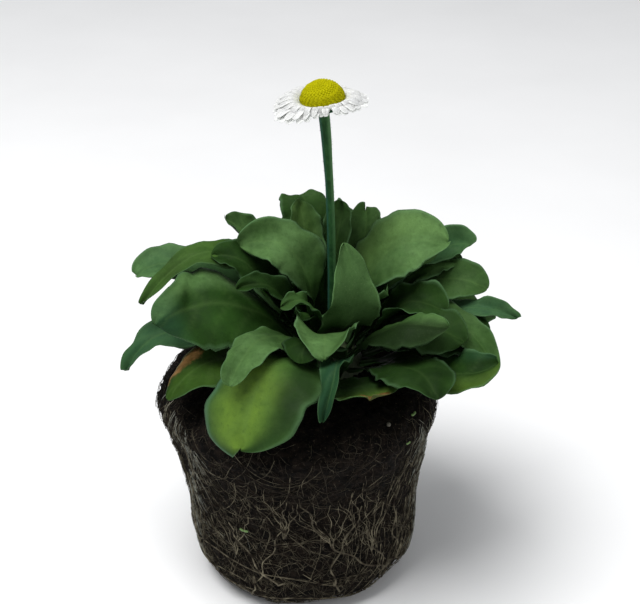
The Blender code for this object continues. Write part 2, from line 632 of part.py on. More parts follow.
def add_eye(look):
    """The yellow eye: the hull of evenly spread points on a dome, each face raised to a floret's peak."""
    shape = bmesh.new()
    for k in range(EYE_CELLS):
        height = 1 - (k + 0.5) / EYE_CELLS
        turn, reach = k * GOLDEN_TURN, EYE_RADIUS * math.sqrt(1 - height**2)
        shape.verts.new((reach * math.cos(turn), reach * math.sin(turn), EYE_HEIGHT * height))
    foot_radius = EYE_RADIUS * 0.97
    for k in range(EYE_FOOT_SIDES):
        turn = 2 * math.pi * k / EYE_FOOT_SIDES
        shape.verts.new((foot_radius * math.cos(turn), foot_radius * math.sin(turn), EYE_FOOT))
    bmesh.ops.convex_hull(shape, input=list(shape.verts))
    loose = [vert for vert in shape.verts if not vert.link_faces]
    bmesh.ops.delete(shape, geom=loose, context="VERTS")
    domed = [face for face in shape.faces if max(vert.co.z for vert in face.verts) > EYE_FOOT / 2]
    bmesh.ops.poke(shape, faces=domed, offset=FLORET_DEPTH)
    shape.normal_update()
    mesh = bpy.data.meshes.new("disc_florets")
    shape.to_mesh(mesh)
    shape.free()
    mesh.materials.append(look)
    eye = bpy.data.objects.new("disc_florets", mesh)
    bpy.context.scene.collection.objects.link(eye)
    eye.matrix_world = head_matrix()
    return eye


def root(route, half):
    """Points and faces of a three-sided root that follows a route of (turn, run) pairs over the skin."""
    centres, ups = [], []
    for turn, run in route:
        skin, facing = ball_surface(turn, run)
        centres.append(skin + facing * (ROOT_CLEAR + half / 2))
        ups.append(facing)
    widths = [half * 1.1] * (len(route) - 1) + [half * 0.5]
    return tube(centres, ups, widths, [half] * len(route), 3, math.pi / 2)


def ring_route(number, level, dip):
    """A route that circles the ball and runs a little past its own start."""
    route = []
    for k in range(RING_STEPS + 3):
        turn = 2 * math.pi * k / RING_STEPS + number
        wander = dip * math.sin(2 * turn + number) + 0.012 * math.sin(7 * turn)
        route.append((turn, level + wander + 0.02 * k / RING_STEPS))
    return route


def filled(route):
    """The route with more points along it, so that its straight pieces stay outside the peat."""
    full = []
    for (turn, run), (next_turn, next_run) in zip(route, route[1:]):
        steps = math.ceil(max(abs(next_turn - turn) / MOST_TURN_STEP, abs(next_run - run) / MOST_RUN_STEP))
        full += [(lerp(turn, next_turn, k / steps), lerp(run, next_run, k / steps)) for k in range(steps)]
    return [(math.radians(turn), run) for turn, run in [*full, route[-1]]]


def back_route(number):
    """A route that falls down the back of the ball and wanders sideways, past the ring near its foot."""
    vary = [even_jitter(number, kind) for kind in range(4)]
    turn = 180 * (number + 0.5) / BACK_ROOTS + 3 * vary[0]
    middle, low = turn + 10 * vary[1], turn + 18 * vary[2]
    top = (turn, 0.62 + 0.18 * vary[3])
    return top, (middle, 0.42 + 0.05 * vary[2]), (low, 0.27), (low + 3 * vary[1], 0.14)


def add_root_net(look):
    """The net: roots that run down the ball, tied together by others that circle it low down."""
    solids = []
    for number, (level, dip) in enumerate(ROOT_RINGS):
        solids.append(root(ring_route(number, level, dip), ROOT_HALF * (1.15 - 0.1 * number)))
    falling = [*FRONT_ROOTS, *(back_route(number) for number in range(BACK_ROOTS))]
    for number, route in enumerate(falling):
        solids.append(root(filled(route), ROOT_HALF * (1 + 0.3 * even_jitter(number, 4))))
    return fused("root_net", solids, look)


def world_mesh(thing):
    mesh = thing.evaluated_get(bpy.context.evaluated_depsgraph_get()).to_mesh()
    points = [thing.matrix_world @ vert.co for vert in mesh.vertices]
    return points, [tuple(face.vertices) for face in mesh.polygons]


def add_leaves(look, solids):
    """Every leaf, front ones first, each nudged clear of the solids and of the leaves before it."""
    taken_points, taken_faces = [], []

    def take(points, faces):
        first = len(taken_points)
        taken_points.extend(points)
        taken_faces.extend(tuple(first + corner for corner in face) for face in faces)

    bpy.context.view_layer.update()
    for solid in solids:
        take(*world_mesh(solid))
    for leaf in [*LEAVES, *back_leaves()]:
        placed = clear_leaf(leaf, BVHTree.FromPolygons(taken_points, taken_faces))
        if placed is None:
            continue
        points, faces = leaf_mesh(placed)
        add_object(leaf.name, points, faces, look, sharp_over=80)
        take([Vector(point) for point in points], faces)


def main():
    for old in list(bpy.data.objects):
        bpy.data.objects.remove(old, do_unlink=True)
    peat = add_material("peat", (0.022, 0.016, 0.012), 0.95)
    leaf_green = add_material("leaf_green", (0.07, 0.16, 0.05), 0.6)
    crown_green = add_material("crown_green", (0.12, 0.17, 0.08), 0.7)
    stalk_green = add_material("stalk_green", (0.06, 0.14, 0.07), 0.55)
    ray_white = add_material("ray_white", (0.85, 0.86, 0.84), 0.6)
    eye_yellow = add_material("eye_yellow", (0.62, 0.56, 0.03), 0.8)
    root_tan = add_material("root_tan", (0.24, 0.2, 0.13), 0.85)
    solids = [
        add_soil(peat),
        add_crown(crown_green),
        add_stalk(stalk_green),
        add_rays(ray_white),
        add_bracts(stalk_green),
        add_eye(eye_yellow),
        add_root_net(root_tan),
    ]
    add_leaves(leaf_green, solids)


main()
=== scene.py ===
# %% [markdown]
# # An English daisy on its bare root ball
#
# The plant was knocked out of its pot: a plug of dark peat held by its own roots, a rosette of spoon-shaped
# leaves and one daisy on a leafless stalk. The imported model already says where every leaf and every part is.
# This lesson gives each part the finer form and the finish of the living plant, and moves nothing.

# %% Load the fixed frame
import math
from collections import namedtuple
from functools import lru_cache

import bpy
import numpy as np
from mathutils import Matrix, Vector, noise


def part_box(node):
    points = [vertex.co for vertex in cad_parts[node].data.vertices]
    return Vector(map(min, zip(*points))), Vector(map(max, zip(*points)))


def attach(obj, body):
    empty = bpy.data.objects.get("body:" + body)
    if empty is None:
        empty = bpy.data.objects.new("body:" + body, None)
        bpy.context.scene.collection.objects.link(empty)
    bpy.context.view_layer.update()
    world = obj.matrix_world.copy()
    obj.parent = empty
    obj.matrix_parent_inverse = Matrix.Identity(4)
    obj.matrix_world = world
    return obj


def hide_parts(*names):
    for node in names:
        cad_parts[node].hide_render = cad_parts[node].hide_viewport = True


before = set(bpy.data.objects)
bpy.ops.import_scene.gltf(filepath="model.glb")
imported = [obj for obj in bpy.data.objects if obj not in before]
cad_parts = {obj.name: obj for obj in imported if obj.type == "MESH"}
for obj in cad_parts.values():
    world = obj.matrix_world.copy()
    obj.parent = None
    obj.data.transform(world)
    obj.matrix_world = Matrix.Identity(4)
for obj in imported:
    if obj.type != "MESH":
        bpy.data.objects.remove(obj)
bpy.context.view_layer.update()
MM = 0.001
print("nodes in the frame:", len(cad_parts))

# %% [markdown]
# ## Camera, floor and light
#
# The plant was photographed from about half a metre, looking down at 28 degrees. One camera of the same
# field of view stands there. A camera could be placed by hand; here its place is worked out from the
# height and distance, so it can be changed in one line.

# %% Place the camera
CAMERA_AIM = Vector((7.8 * MM, 0, 105.4 * MM))
CAMERA_RISE = math.radians(28)
CAMERA_AWAY = 0.5
SENSOR_MM = 36
PHOTO_WIDTH, PHOTO_FOCUS = 640, 1423

lens = bpy.data.cameras.new("photo_lens")
lens.sensor_width = SENSOR_MM
lens.lens = PHOTO_FOCUS / PHOTO_WIDTH * SENSOR_MM
camera = bpy.data.objects.new("photo_camera", lens)
bpy.context.scene.collection.objects.link(camera)
towards_camera = Vector((0, -math.cos(CAMERA_RISE), math.sin(CAMERA_RISE)))
camera.location = CAMERA_AIM + towards_camera * CAMERA_AWAY
camera.rotation_euler = (-towards_camera).to_track_quat("-Z", "Y").to_euler()
bpy.context.scene.camera = camera
print("camera at", tuple(round(value, 3) for value in camera.location))

# %% [markdown]
# A material in Blender is a small graph. Laid by hand it takes many clicks, so a small class does it: it adds
# a node and sets its sockets, makes patches of noise, and lays colours over each other, each by its share.

# %% Helpers for materials


def srgb(red, green, blue):
    """A colour as a paint chart gives it, 0 to 255, turned into the linear light that Blender works in."""
    parts = [value / 255 for value in (red, green, blue)]
    return tuple(p / 12.92 if p <= 0.04045 else ((p + 0.055) / 1.055) ** 2.4 for p in parts) + (1,)


class Finish:
    """A material that is being mixed: its graph, its shader, its colour so far, and ways to add to them."""

    def __init__(self, name):
        self.material = bpy.data.materials.new(name)
        self.material.use_nodes = True
        self.tree = self.material.node_tree
        self.shader = self.tree.nodes["Principled BSDF"]
        self.place = self.node("ShaderNodeTexCoord").outputs["Object"]

    def put(self, node, socket, value):
        """Sets a socket to a value, another socket, or what the mesh carries by that name."""
        if isinstance(value, str):
            carried = self.tree.nodes.new("ShaderNodeAttribute")
            carried.attribute_name = value
            value = carried.outputs["Fac"]
        socket = node.inputs[socket]
        if isinstance(value, bpy.types.NodeSocket):
            self.tree.links.new(value, socket)
        else:
            socket.default_value = value

    def node(self, kind, **sockets):
        made = self.tree.nodes.new(kind)
        for name, value in sockets.items():
            self.put(made, name.replace("_", " "), value)
        return made

    def mix(self, share, first, second):
        """Two colours mixed, each a socket or a paint chart's three numbers."""
        made = self.tree.nodes.new("ShaderNodeMix")
        made.data_type = "RGBA"
        self.put(made, 0, share)
        for socket, colour in ((6, first), (7, second)):
            self.put(made, socket, srgb(*colour) if isinstance(colour, tuple) else colour)
        return made.outputs[2]

    def layers(self, *layers):
        """Lays colours over the colour so far, each by its share."""
        for share, colour in layers:
            self.colour = self.mix(share, self.colour, colour)

    def noise(self, scale, detail=3.0, roughness=0.5):
        made = self.node("ShaderNodeTexNoise", Vector=self.place, Scale=scale, Detail=detail)
        made.inputs["Roughness"].default_value = roughness
        return made.outputs["Fac"]

    def between(self, value, low, high, to_low=0.0, to_high=1.0):
        """The value spread out, so that low becomes to_low and high becomes to_high."""
        made = self.node("ShaderNodeMapRange")
        for k, part in enumerate((value, low, high, to_low, to_high)):
            self.put(made, k, part)
        return made.outputs[0]

    def patches(self, noise, spread):
        return self.between(self.noise(*noise), *spread)

    def maths(self, operation, first, second):
        made = self.tree.nodes.new("ShaderNodeMath")
        made.operation = operation
        made.use_clamp = True
        self.put(made, 0, first)
        self.put(made, 1, second)
        return made.outputs[0]

    def times(self, first, second):
        return self.maths("MULTIPLY", first, second)

    def bump(self, height, strength, depth):
        made = self.node("ShaderNodeBump", Height=height, Strength=strength, Distance=depth)
        self.put(self.shader, "Normal", made.outputs["Normal"])

    def done(self, **sockets):
        for name, value in {"Base_Color": self.colour, **sockets}.items():
            self.put(self.shader, name.replace("_", " "), value)


# %% [markdown]
# The floor is plain and pale, and one mesh plane is enough for it. Two broad area lights stand in for the
# soft light of a studio, and the grey-white world fills the shadows.

# %% Lay the floor and light the scene
FLOOR_HALF = 3.0


def add_mesh(name, points, faces, look, **values):
    """An object from points and faces, shaded smooth, with each value kept on its points by name."""
    mesh = bpy.data.meshes.new(name)
    mesh.from_pydata([tuple(point) for point in points], [], [tuple(face) for face in faces])
    mesh.materials.append(look)
    mesh.shade_smooth()
    for value, numbers in values.items():
        kept = mesh.attributes.new(value, "FLOAT", "POINT")
        kept.data.foreach_set("value", np.asarray(numbers, np.float32))
    made = bpy.data.objects.new(name, mesh)
    bpy.context.scene.collection.objects.link(made)
    return made


floor_finish = Finish("pale_floor")
speckle = floor_finish.patches((9,), (0.3, 0.7))
floor_finish.colour = floor_finish.mix(speckle, (246, 246, 246), (250, 250, 250))
floor_finish.done(Roughness=0.9)
corners = [(x * FLOOR_HALF, y * FLOOR_HALF, 0) for x, y in ((-1, -1), (1, -1), (1, 1), (-1, 1))]
add_mesh("floor", corners, [(0, 1, 2, 3)], floor_finish.material)


def add_light(name, place, size, power):
    lamp = bpy.data.lights.new(name, "AREA")
    lamp.size = size
    lamp.energy = power
    made = bpy.data.objects.new(name, lamp)
    bpy.context.scene.collection.objects.link(made)
    made.location = place
    made.rotation_euler = (CAMERA_AIM - Vector(place)).to_track_quat("-Z", "Y").to_euler()


add_light("soft_key", place=(-0.3, -0.2, 1.2), size=0.8, power=16.5)
add_light("soft_fill", place=(0.9, -0.9, 0.7), size=0.9, power=3)
world = bpy.data.worlds.new("studio_air")
world.use_nodes = True
world.node_tree.nodes["Background"].inputs["Color"].default_value = (0.95, 0.97, 1.0, 1)
world.node_tree.nodes["Background"].inputs["Strength"].default_value = 0.33
bpy.context.scene.world = world
bpy.context.scene.view_settings.view_transform = "Standard"
print("lights:", [thing.name for thing in bpy.data.objects if thing.type == "LIGHT"])

# %% [markdown]
# ## The leaves
#
# A leaf of this plant is a spoon: a narrow stem that widens into a rounded blade. Each one could be
# sculpted, but forty of them would take a day. Here one formula draws any leaf from a few numbers: a midrib
# curve that leaves the crown, bends over and ends at the tip, a width along it, a curl and a tilt.

# %% The formula of a leaf
BALL_HEIGHT = 77 * MM
CROWN_AT = Vector((12 * MM, 2 * MM, BALL_HEIGHT))
CROWN_RADIUS, CROWN_RISE = 12 * MM, 13 * MM
LEAF_OFF_CROWN = 0.36 * MM
STEM_RUN = 9 * MM
STEM_HALF_WIDTH = 1.35 * MM
BLADE_STARTS = 0.2
TIP_ROWS = 0.4

Leaf = namedtuple("Leaf", "name tier bend tip width roll cup wave phase widest seat", defaults=(0.64, 0))
OUTER, MIDDLE, INNER = 22, 44, 64


def lerp(a, b, share):
    return a + (b - a) * share


def smooth(share):
    share = np.clip(share, 0, 1)
    return share * share * (3 - 2 * share)


def unit(vectors):
    return vectors / np.linalg.norm(vectors, axis=-1, keepdims=True)


def from_crown(place):
    """A point from its turn in degrees, reach and height in mm about the crown."""
    turn = math.radians(place[0])
    away = np.array([math.cos(turn) * place[1], math.sin(turn) * place[1], place[2]])
    return np.array(CROWN_AT) + away * MM


def crown_seat(turn, tier):
    turn, tier = math.radians(turn), math.radians(tier)
    out = Vector((math.cos(turn), math.sin(turn), 0))
    seat = out * CROWN_RADIUS * math.cos(tier) + Vector((0, 0, CROWN_RISE * math.sin(tier)))
    square = (out * math.cos(tier) / CROWN_RADIUS + Vector((0, 0, math.sin(tier) / CROWN_RISE))).normalized()
    return np.array(CROWN_AT + seat + square * LEAF_OFF_CROWN), np.array(square)


def midrib(leaf, at):
    """Points of the midrib at the shares `at` of its run, with its side and upward normal there."""
    seat, square = crown_seat(leaf.bend[0] + leaf.seat, leaf.tier)
    bend, tip = from_crown(leaf.bend), from_crown(leaf.tip)
    handle = seat + square * STEM_RUN
    t = np.asarray(at)[:, None]
    u = 1 - t
    points = seat * u**3 + 3 * handle * u**2 * t + 3 * bend * u * t**2 + tip * t**3
    tangent = unit((handle - seat) * u**2 + 2 * (bend - handle) * u * t + (tip - bend) * t**2)
    ahead = (tip - seat) * [1, 1, 0]
    across = unit(np.array([-ahead[1], ahead[0], 0]))
    side = unit(across - tangent * (tangent @ across)[:, None])
    normal = np.cross(tangent, side)
    roll = np.radians(lerp(leaf.roll[0], leaf.roll[1], t))
    return points, side * np.cos(roll) + normal * np.sin(roll), normal * np.cos(roll) - side * np.sin(roll)


def half_width(leaf, at, blunt=2):
    """Spoon shape: a narrow stem that swells into the blade, widest near its end, which is round or blunt."""
    opening = smooth((at - BLADE_STARTS) / (leaf.widest - BLADE_STARTS))
    closing = np.sqrt(np.clip(1 - (np.clip(at - leaf.widest, 0, 1) / (1 - leaf.widest)) ** blunt, 0, 1))
    return lerp(STEM_HALF_WIDTH, leaf.width * MM / 2, opening) * closing


# %% [markdown]
# A living blade isn't smooth. It has a groove along the midrib, side veins that run forward to the edge,
# soft blisters between them, and an edge that waves and is never quite even. A bump texture would fake
# that, but the edge would stay a straight line against the light, so the detail goes into the mesh.

# %% The living surface of a leaf
PLAIN_STEM, PLAIN_BLADE = 1.9 * MM, 0.9 * MM
STEM_THICK, FINE_THICK = 1.7 * MM, 0.55 * MM
VEINS, VEIN_FORWARD = 7, 0.16
PLAIN_END = (2.3, 2.3)
# What is special about a leaf, by its name without leaf_: how blunt its end is on its two sides, and what
# share of the model's length it has; how far its end reaches out to one side; how much its two sides draw
# in before the end; what share of the fine relief it keeps, for leaves that lie close to others; and how
# high its end folds over.
BLUNT = {
    "front_left_large": (8, 3.0),
    "left_dome": (2.6, 2.4),
    "left_bright": (3, 3),
    "front_hanging": (1.3, 0.9),
    "right_narrow": (1.2, 1.2),
    "right_long": (1.6, 1.5),
    "left_low": (1.5, 1.5),
}
LENGTH = {"front_left_large": 0.975, "front_hanging": 0.965}
CORNER = {"front_left_large": 4.5 * MM}
WAIST = {"front_left_large": (0.36, 0), "front_hanging": (0.0, 0.55)}
CALM = {"front_shaded": 0.0, "right_upper": 0.3, "left_old": 0.3, "back_9": 0.3}
LOBED = {"left_dome": 2.4 * MM}


def short_name(leaf):
    return leaf.name.removeprefix("leaf_")


def leaf_rows(leaf, rows):
    row = np.linspace(0, 1, rows)
    rounding = np.sin(np.clip(row - 1 + TIP_ROWS, 0, 1) / TIP_ROWS * math.pi / 2)
    return leaf.widest * np.minimum(row / (1 - TIP_ROWS), 1) + (1 - leaf.widest) * rounding


def vein_pattern(at, across):
    """1 on the midrib and on the side veins, and 0 between them."""
    run = (at[:, None] - VEIN_FORWARD * np.abs(across) ** 0.8) * VEINS + 0.35 * np.sign(across)
    apart = np.abs(run - np.round(run))
    side_vein = np.exp(-((apart / 0.1) ** 2)) * np.clip(1.15 - np.abs(across), 0, 1)
    return np.maximum(np.exp(-((across / 0.055) ** 2)) * (at[:, None] < 0.97), 0.65 * side_vein)


def living_width(leaf, at, across, blade, beat):
    """Half the width of a living blade: its end and its waist, and three sizes of unevenness on its edge."""
    name, run = short_name(leaf), at[:, None]
    ends = [half_width(leaf, at, blunt)[:, None] for blunt in BLUNT.get(name, PLAIN_END)]
    pinch = np.sin(math.pi * np.clip((run - 0.48) / 0.5, 0, 1))
    waists = [1 - share * pinch for share in WAIST.get(name, (0, 0))]
    width = np.where(across < 0, ends[0] * waists[0], ends[1] * waists[1])
    ripple = blade * 0.045 * np.sin(19 * run + beat)
    width = width * (1 + ripple + blade * 0.028 * np.sin(47 * run - 2 * beat))
    width = width * (1 + blade * 0.016 * np.sin(83 * run + 3 * beat))
    return width * (1 - 0.22 * smooth((run - 0.84) / 0.05) * (across < 0) * (name in LOBED))


def living_lift(leaf, at, across, blade, beat, plain_lift):
    """How far a living blade stands above its midrib: waves, blisters, veins, the fold and a folded end."""
    name, run = short_name(leaf), at[:, None]
    lift = plain_lift + 0.8 * MM * blade * across**4 * np.sin(27 * run + 2 * beat)
    lift = lift + 0.35 * MM * blade * np.abs(across) ** 3 * np.sin(61 * run - beat)
    blister = np.sin(15 * run + 3 * across + leaf.phase) * np.cos(3.6 * across - 5 * run + 2 * leaf.phase)
    lift = lift + 0.6 * MM * blade * blister * (1 - across**4)
    lift = lift - 0.12 * MM * blade * vein_pattern(at, across)
    fold = (1.2 + 0.4 * math.sin(5 * leaf.phase)) * MM * (leaf.cup < 40)
    lift = lift + fold * blade * (np.sqrt(across**2 + 0.01) - 0.1)
    lift = lift + MM * blade * np.sin(8 * run + 3 * leaf.phase) * across * np.abs(across)
    over = smooth((run - 0.86 - 0.08 * across) / 0.04) * smooth((0.3 - across) / 0.5)
    return lerp(plain_lift, lift, CALM.get(name, 1)) + LOBED.get(name, 0) * over


def leaf_surface(leaf, rows, columns, living):
    """Upper and lower points of a leaf, each rows x columns x 3. living adds the detail of a real blade."""
    name = short_name(leaf)
    at, across = leaf_rows(leaf, rows), np.linspace(-1, 1, columns)
    centre, side, normal = midrib(leaf, at * LENGTH.get(name, 1) if living else at)
    width = half_width(leaf, at)[:, None]
    blade = smooth((at - BLADE_STARTS) / 0.3)[:, None]
    curl = np.radians(leaf.cup) * blade + 1e-4
    run = at[:, None]
    lift = leaf.wave * MM * blade * across**2 * np.sin(14 * run + leaf.phase + across)
    stem, thin = PLAIN_STEM, PLAIN_BLADE
    if living:
        stem, thin = STEM_THICK, FINE_THICK
        beat = 2.4 * leaf.phase + 1.7 * np.sign(across)
        width = living_width(leaf, at, across, blade, beat)
        lift = living_lift(leaf, at, across, blade, beat, lift)
    out = width * np.sin(curl * across) / curl
    up = width * (1 - np.cos(curl * across)) / curl + lift
    middle = centre[:, None] + side[:, None] * out[..., None] + normal[:, None] * up[..., None]
    if living and name in CORNER:
        ahead = unit(np.gradient(centre, axis=0))[:, None]
        push = CORNER[name] * smooth((run - 0.8) / 0.2) * np.clip(-across, 0, 1) ** 2
        middle = middle + ahead * push[..., None]
    bent = (curl * across)[..., None]
    facing = normal[:, None] * np.cos(bent) - side[:, None] * np.sin(bent)
    thick = lerp(stem, thin, smooth(at / BLADE_STARTS - 0.3))[:, None] / 2
    thick = thick * np.sqrt(1 - np.abs(across) ** 4)
    under = thick
    if living:
        under = thick + 0.5 * MM * np.exp(-((across / 0.09) ** 2)) * (1 - run) * blade
    return middle + facing * thick[..., None], middle - facing * under[..., None]


@lru_cache
def leaf_topology(rows, columns):
    """Which surface points a leaf's mesh takes, as (face, row, column), and its triangles."""
    places, faces = {}, []

    def point(face, row, column):
        if row == rows - 1:
            face, column = 0, columns // 2
        elif column in (0, columns - 1):
            face = 0
        return places.setdefault((face, row, column), len(places))

    for row in range(rows - 1):
        for column in range(columns - 1):
            for face in (0, 1):
                a, b = point(face, row, column), point(face, row + 1, column)
                c, d = point(face, row + 1, column + 1), point(face, row, column + 1)
                halves = [(a, b, c), (a, c, d)] if column < columns // 2 else [(a, b, d), (b, c, d)]
                faces += [half[::-1] if face else half for half in halves if len(set(half)) == 3]
    rim = [point(0, 0, column) for column in range(columns)]
    rim += [point(1, 0, column) for column in range(columns - 2, 0, -1)]
    faces += [(rim[0], rim[k], rim[k + 1]) for k in range(1, len(rim) - 1)]
    return np.array(list(places)).T, faces


def leaf_mesh(leaf, rows, columns, living):
    (face, row, column), faces = leaf_topology(rows, columns)
    return np.stack(leaf_surface(leaf, rows, columns, living))[face, row, column], faces


# %% [markdown]
# The table gives the leaves that face the camera, one row each: where it bends, where its tip is, how wide
# it is, how it tilts, curls and waves. The leaves of the far side are fanned round in three tiers.

# %% The table of leaves
LEAVES = [
    Leaf("leaf_front_left_large", OUTER, (247, 55, 59), (243, 67, 1), 42, (0, 0), -20, 2.0, 0.0, 0.76),
    Leaf("leaf_front_left_folded", MIDDLE, (239, 47, 50), (239, 64, 26), 16, (0, -10), -20, 1.5, 0.8),
    Leaf("leaf_left_dome", MIDDLE, (211, 38, 52), (204, 64, 32), 35, (0, -48), -35, 1.2, 1.0),
    Leaf("leaf_centre_left", INNER, (200, 2, 60), (178, 32, 49), 20, (0, -52), 12, 2.0, 1.5),
    Leaf("leaf_front_cupped", MIDDLE, (265, 32, 42), (267, 52, 34), 24, (0, 0), 55, 1.0, 0.0),
    Leaf("leaf_front_hanging", OUTER, (273, 60, 60), (265, 61, 12), 13, (0, 20), -10, 1.2, 0.6),
    Leaf("leaf_centre_front", INNER, (293, 36, 27), (281, 20, 60), 20, (0, 0), -25, 1.0, 0.0, 0.52, -45),
    Leaf("leaf_right_broad", INNER, (350, 10, 60), (2, 40, 50), 25, (0, 42), 10, 1.6, 0.7),
    Leaf("leaf_front_right_rolled", MIDDLE, (300, 36, 40), (321, 49, 34), 19, (0, 15), -45, 1.0, 0.6),
    Leaf("leaf_front_right_round", OUTER, (305, 52, 34), (302, 63, 20), 24, (0, 0), -12, 0.8, 1.1),
    Leaf("leaf_right_low", OUTER, (310, 54, 15), (331, 64, 20), 23, (0, 20), 8, 1.4, 0.3, 0.5),
    Leaf("leaf_right_long", MIDDLE, (344, 42, 44), (333, 61, 15), 15, (0, 30), -10, 1.0, 0.0),
    Leaf("leaf_left_light", MIDDLE, (175, 53, 52), (177, 69, 36), 20, (0, -25), 12, 1.5, 2.0),
    Leaf("leaf_left_low", OUTER, (190, 64, 37), (193, 73, 9), 17, (0, -25), 10, 1.5, 0.5),
    Leaf("leaf_left_bright", MIDDLE, (180, 36, 74), (189, 66, 30), 13, (0, -25), -10, 1.2, 0.4),
    Leaf("leaf_left_old", OUTER, (210, 51, 29), (212, 65, 8), 24, (0, 0), -12, 2.2, 0.0),
    Leaf("leaf_right_hollow", MIDDLE, (337, 24, 42), (341, 41, 30), 20, (0, 20), 50, 1.0, 0.0),
    Leaf("leaf_right_upper", MIDDLE, (3, 37, 46), (358, 54, 33), 19, (0, 30), 8, 1.0, 0.3),
    Leaf("leaf_centre_small", INNER, (263, 30, 50), (239, 33, 41), 9, (0, -30), 10, 0.6, 0.0),
    Leaf("leaf_right_cupped", MIDDLE, (19, 45, 49), (14, 50, 42), 14, (0, 30), 30, 1.0, 0.3),
    Leaf("leaf_right_narrow", MIDDLE, (347, 53, 38), (351, 64, 26), 9, (0, 25), 8, 0.6, 0.3),
    Leaf("leaf_front_shaded", OUTER, (254, 41, 43), (256, 49, 29), 19, (0, 0), -10, 1.0, 0.3),
    Leaf("leaf_back_cupped", INNER, (36, 17, 56), (54, 20, 56), 15, (0, 0), 30, 1.0, 0.3),
    Leaf("leaf_behind_stalk", INNER, (67, 8, 52), (74, 14, 60), 11, (0, 0), 20, 1.0, 0.3),
    Leaf("leaf_back_upright", INNER, (140, 11, 56), (129, 18, 59), 14, (0, 0), 15, 1.0, 0.3),
    Leaf("leaf_back_left_cupped", MIDDLE, (158, 32, 53), (160, 40, 53), 15, (0, -20), 35, 1.0, 0.3),
    Leaf("leaf_left_inner", MIDDLE, (184, 29, 53), (183, 41, 46), 16, (0, -35), 15, 1.0, 0.3),
    Leaf("leaf_front_right_lowest", OUTER, (289, 42, 19), (284, 50, 17), 27, (0, 0), -5, 1.0, 0.3),
    Leaf("leaf_right_shaded", OUTER, (338, 42, 26), (336, 59, 17), 24, (0, 10), -10, 1.0, 0.3),
    Leaf("leaf_front_right_dark", MIDDLE, (318, 36, 32), (327, 52, 23), 23, (0, 15), -15, 1.0, 0.0),
    Leaf("leaf_heart_right", INNER, (325, 13, 34), (322, 23, 37), 14, (0, 20), 15, 0.8, 0.6),
]
BACK_TIERS = (
    (OUTER, 7, 12, 162, 62, 14, 30),
    (MIDDLE, 5, 32, 148, 52, 33, 25),
    (INNER, 2, 66, 104, 30, 48, 20),
)


def even_jitter(number, kind):
    """A value from -1 to 1 that looks random, from a piece's number and the kind of change it drives."""
    return math.modf((number * 0.6180339887 + kind * 0.3819) * (1 + 0.37 * kind) + 0.5)[0] * 2 - 1


def back_leaves():
    number = 0
    for tier, count, first, last, reach, height, width in BACK_TIERS:
        for k in range(count):
            number += 1
            vary = [even_jitter(number, kind) for kind in range(6)]
            turn = lerp(first, last, k / (count - 1)) + 6 * vary[0]
            bend = (turn, reach * 0.62, height + 20 + 4 * vary[1])
            tip = (turn + 8 * vary[2], reach + 5 * vary[3], height + 6 * vary[4])
            name = f"leaf_back_{number}"
            yield Leaf(name, tier, bend, tip, width + 4 * vary[5], (0, 25 * vary[2]), -20, 1.5, number)


# %% [markdown]
# In the model a leaf that touched a neighbour was moved, by the first of a fixed list of small moves that
# was clear. The same list is walked again here: the move whose plain leaf fills exactly the box of the
# model's leaf is the right one, so the fine leaf lies where the model has it.

# %% Find each leaf's place
MOST_SHIFT = np.array([40.0, 9.0])
MOST_NUDGE = np.array([14.0, 25.0, 12.0, 14.0, 7.0])
NUDGES = 1600
EVEN_SPREAD = 1.0969816
PLAIN_ROWS, PLAIN_COLUMNS = 11, 5
SAME_PLACE, NEARLY_SAME = 0.02 * MM, 0.05 * MM


def nudged(leaf, number):
    steps = np.modf(number / EVEN_SPREAD ** np.arange(1, 8) + 0.5)[0] * 2 - 1
    shift, step = steps[:2] * MOST_SHIFT * (number > 0)
    turn, roll, bend, tip, reach = steps[2:] * number / NUDGES * MOST_NUDGE
    return leaf._replace(
        tier=leaf.tier + step,
        bend=(leaf.bend[0] + turn, leaf.bend[1] + reach / 2, leaf.bend[2] + bend),
        tip=(leaf.tip[0] + turn, leaf.tip[1] + reach, leaf.tip[2] + tip),
        roll=(leaf.roll[0], leaf.roll[1] + roll),
        seat=leaf.seat + shift,
    )


def in_its_place(leaf):
    """How far its box is off, in metres, and the leaf with the move that the model gave it."""
    wanted = np.array(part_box(leaf.name))
    best = None
    for number in range(NUDGES):
        moved = nudged(leaf, number)
        points = leaf_mesh(moved, PLAIN_ROWS, PLAIN_COLUMNS, False)[0]
        off = np.abs(np.array([points.min(0), points.max(0)]) - wanted).max()
        if best is None or off < best[0]:
            best = off, moved
        if off < SAME_PLACE:
            break
    return best


placed = {}
for leaf in [*LEAVES, *back_leaves()]:
    if leaf.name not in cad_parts:
        continue
    off, moved = in_its_place(leaf)
    placed[leaf.name] = moved
    if off > NEARLY_SAME:
        print("no exact place for", leaf.name, round(off / MM, 3), "mm")
print("leaves placed:", len(placed), "of", sum(name.startswith("leaf_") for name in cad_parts))
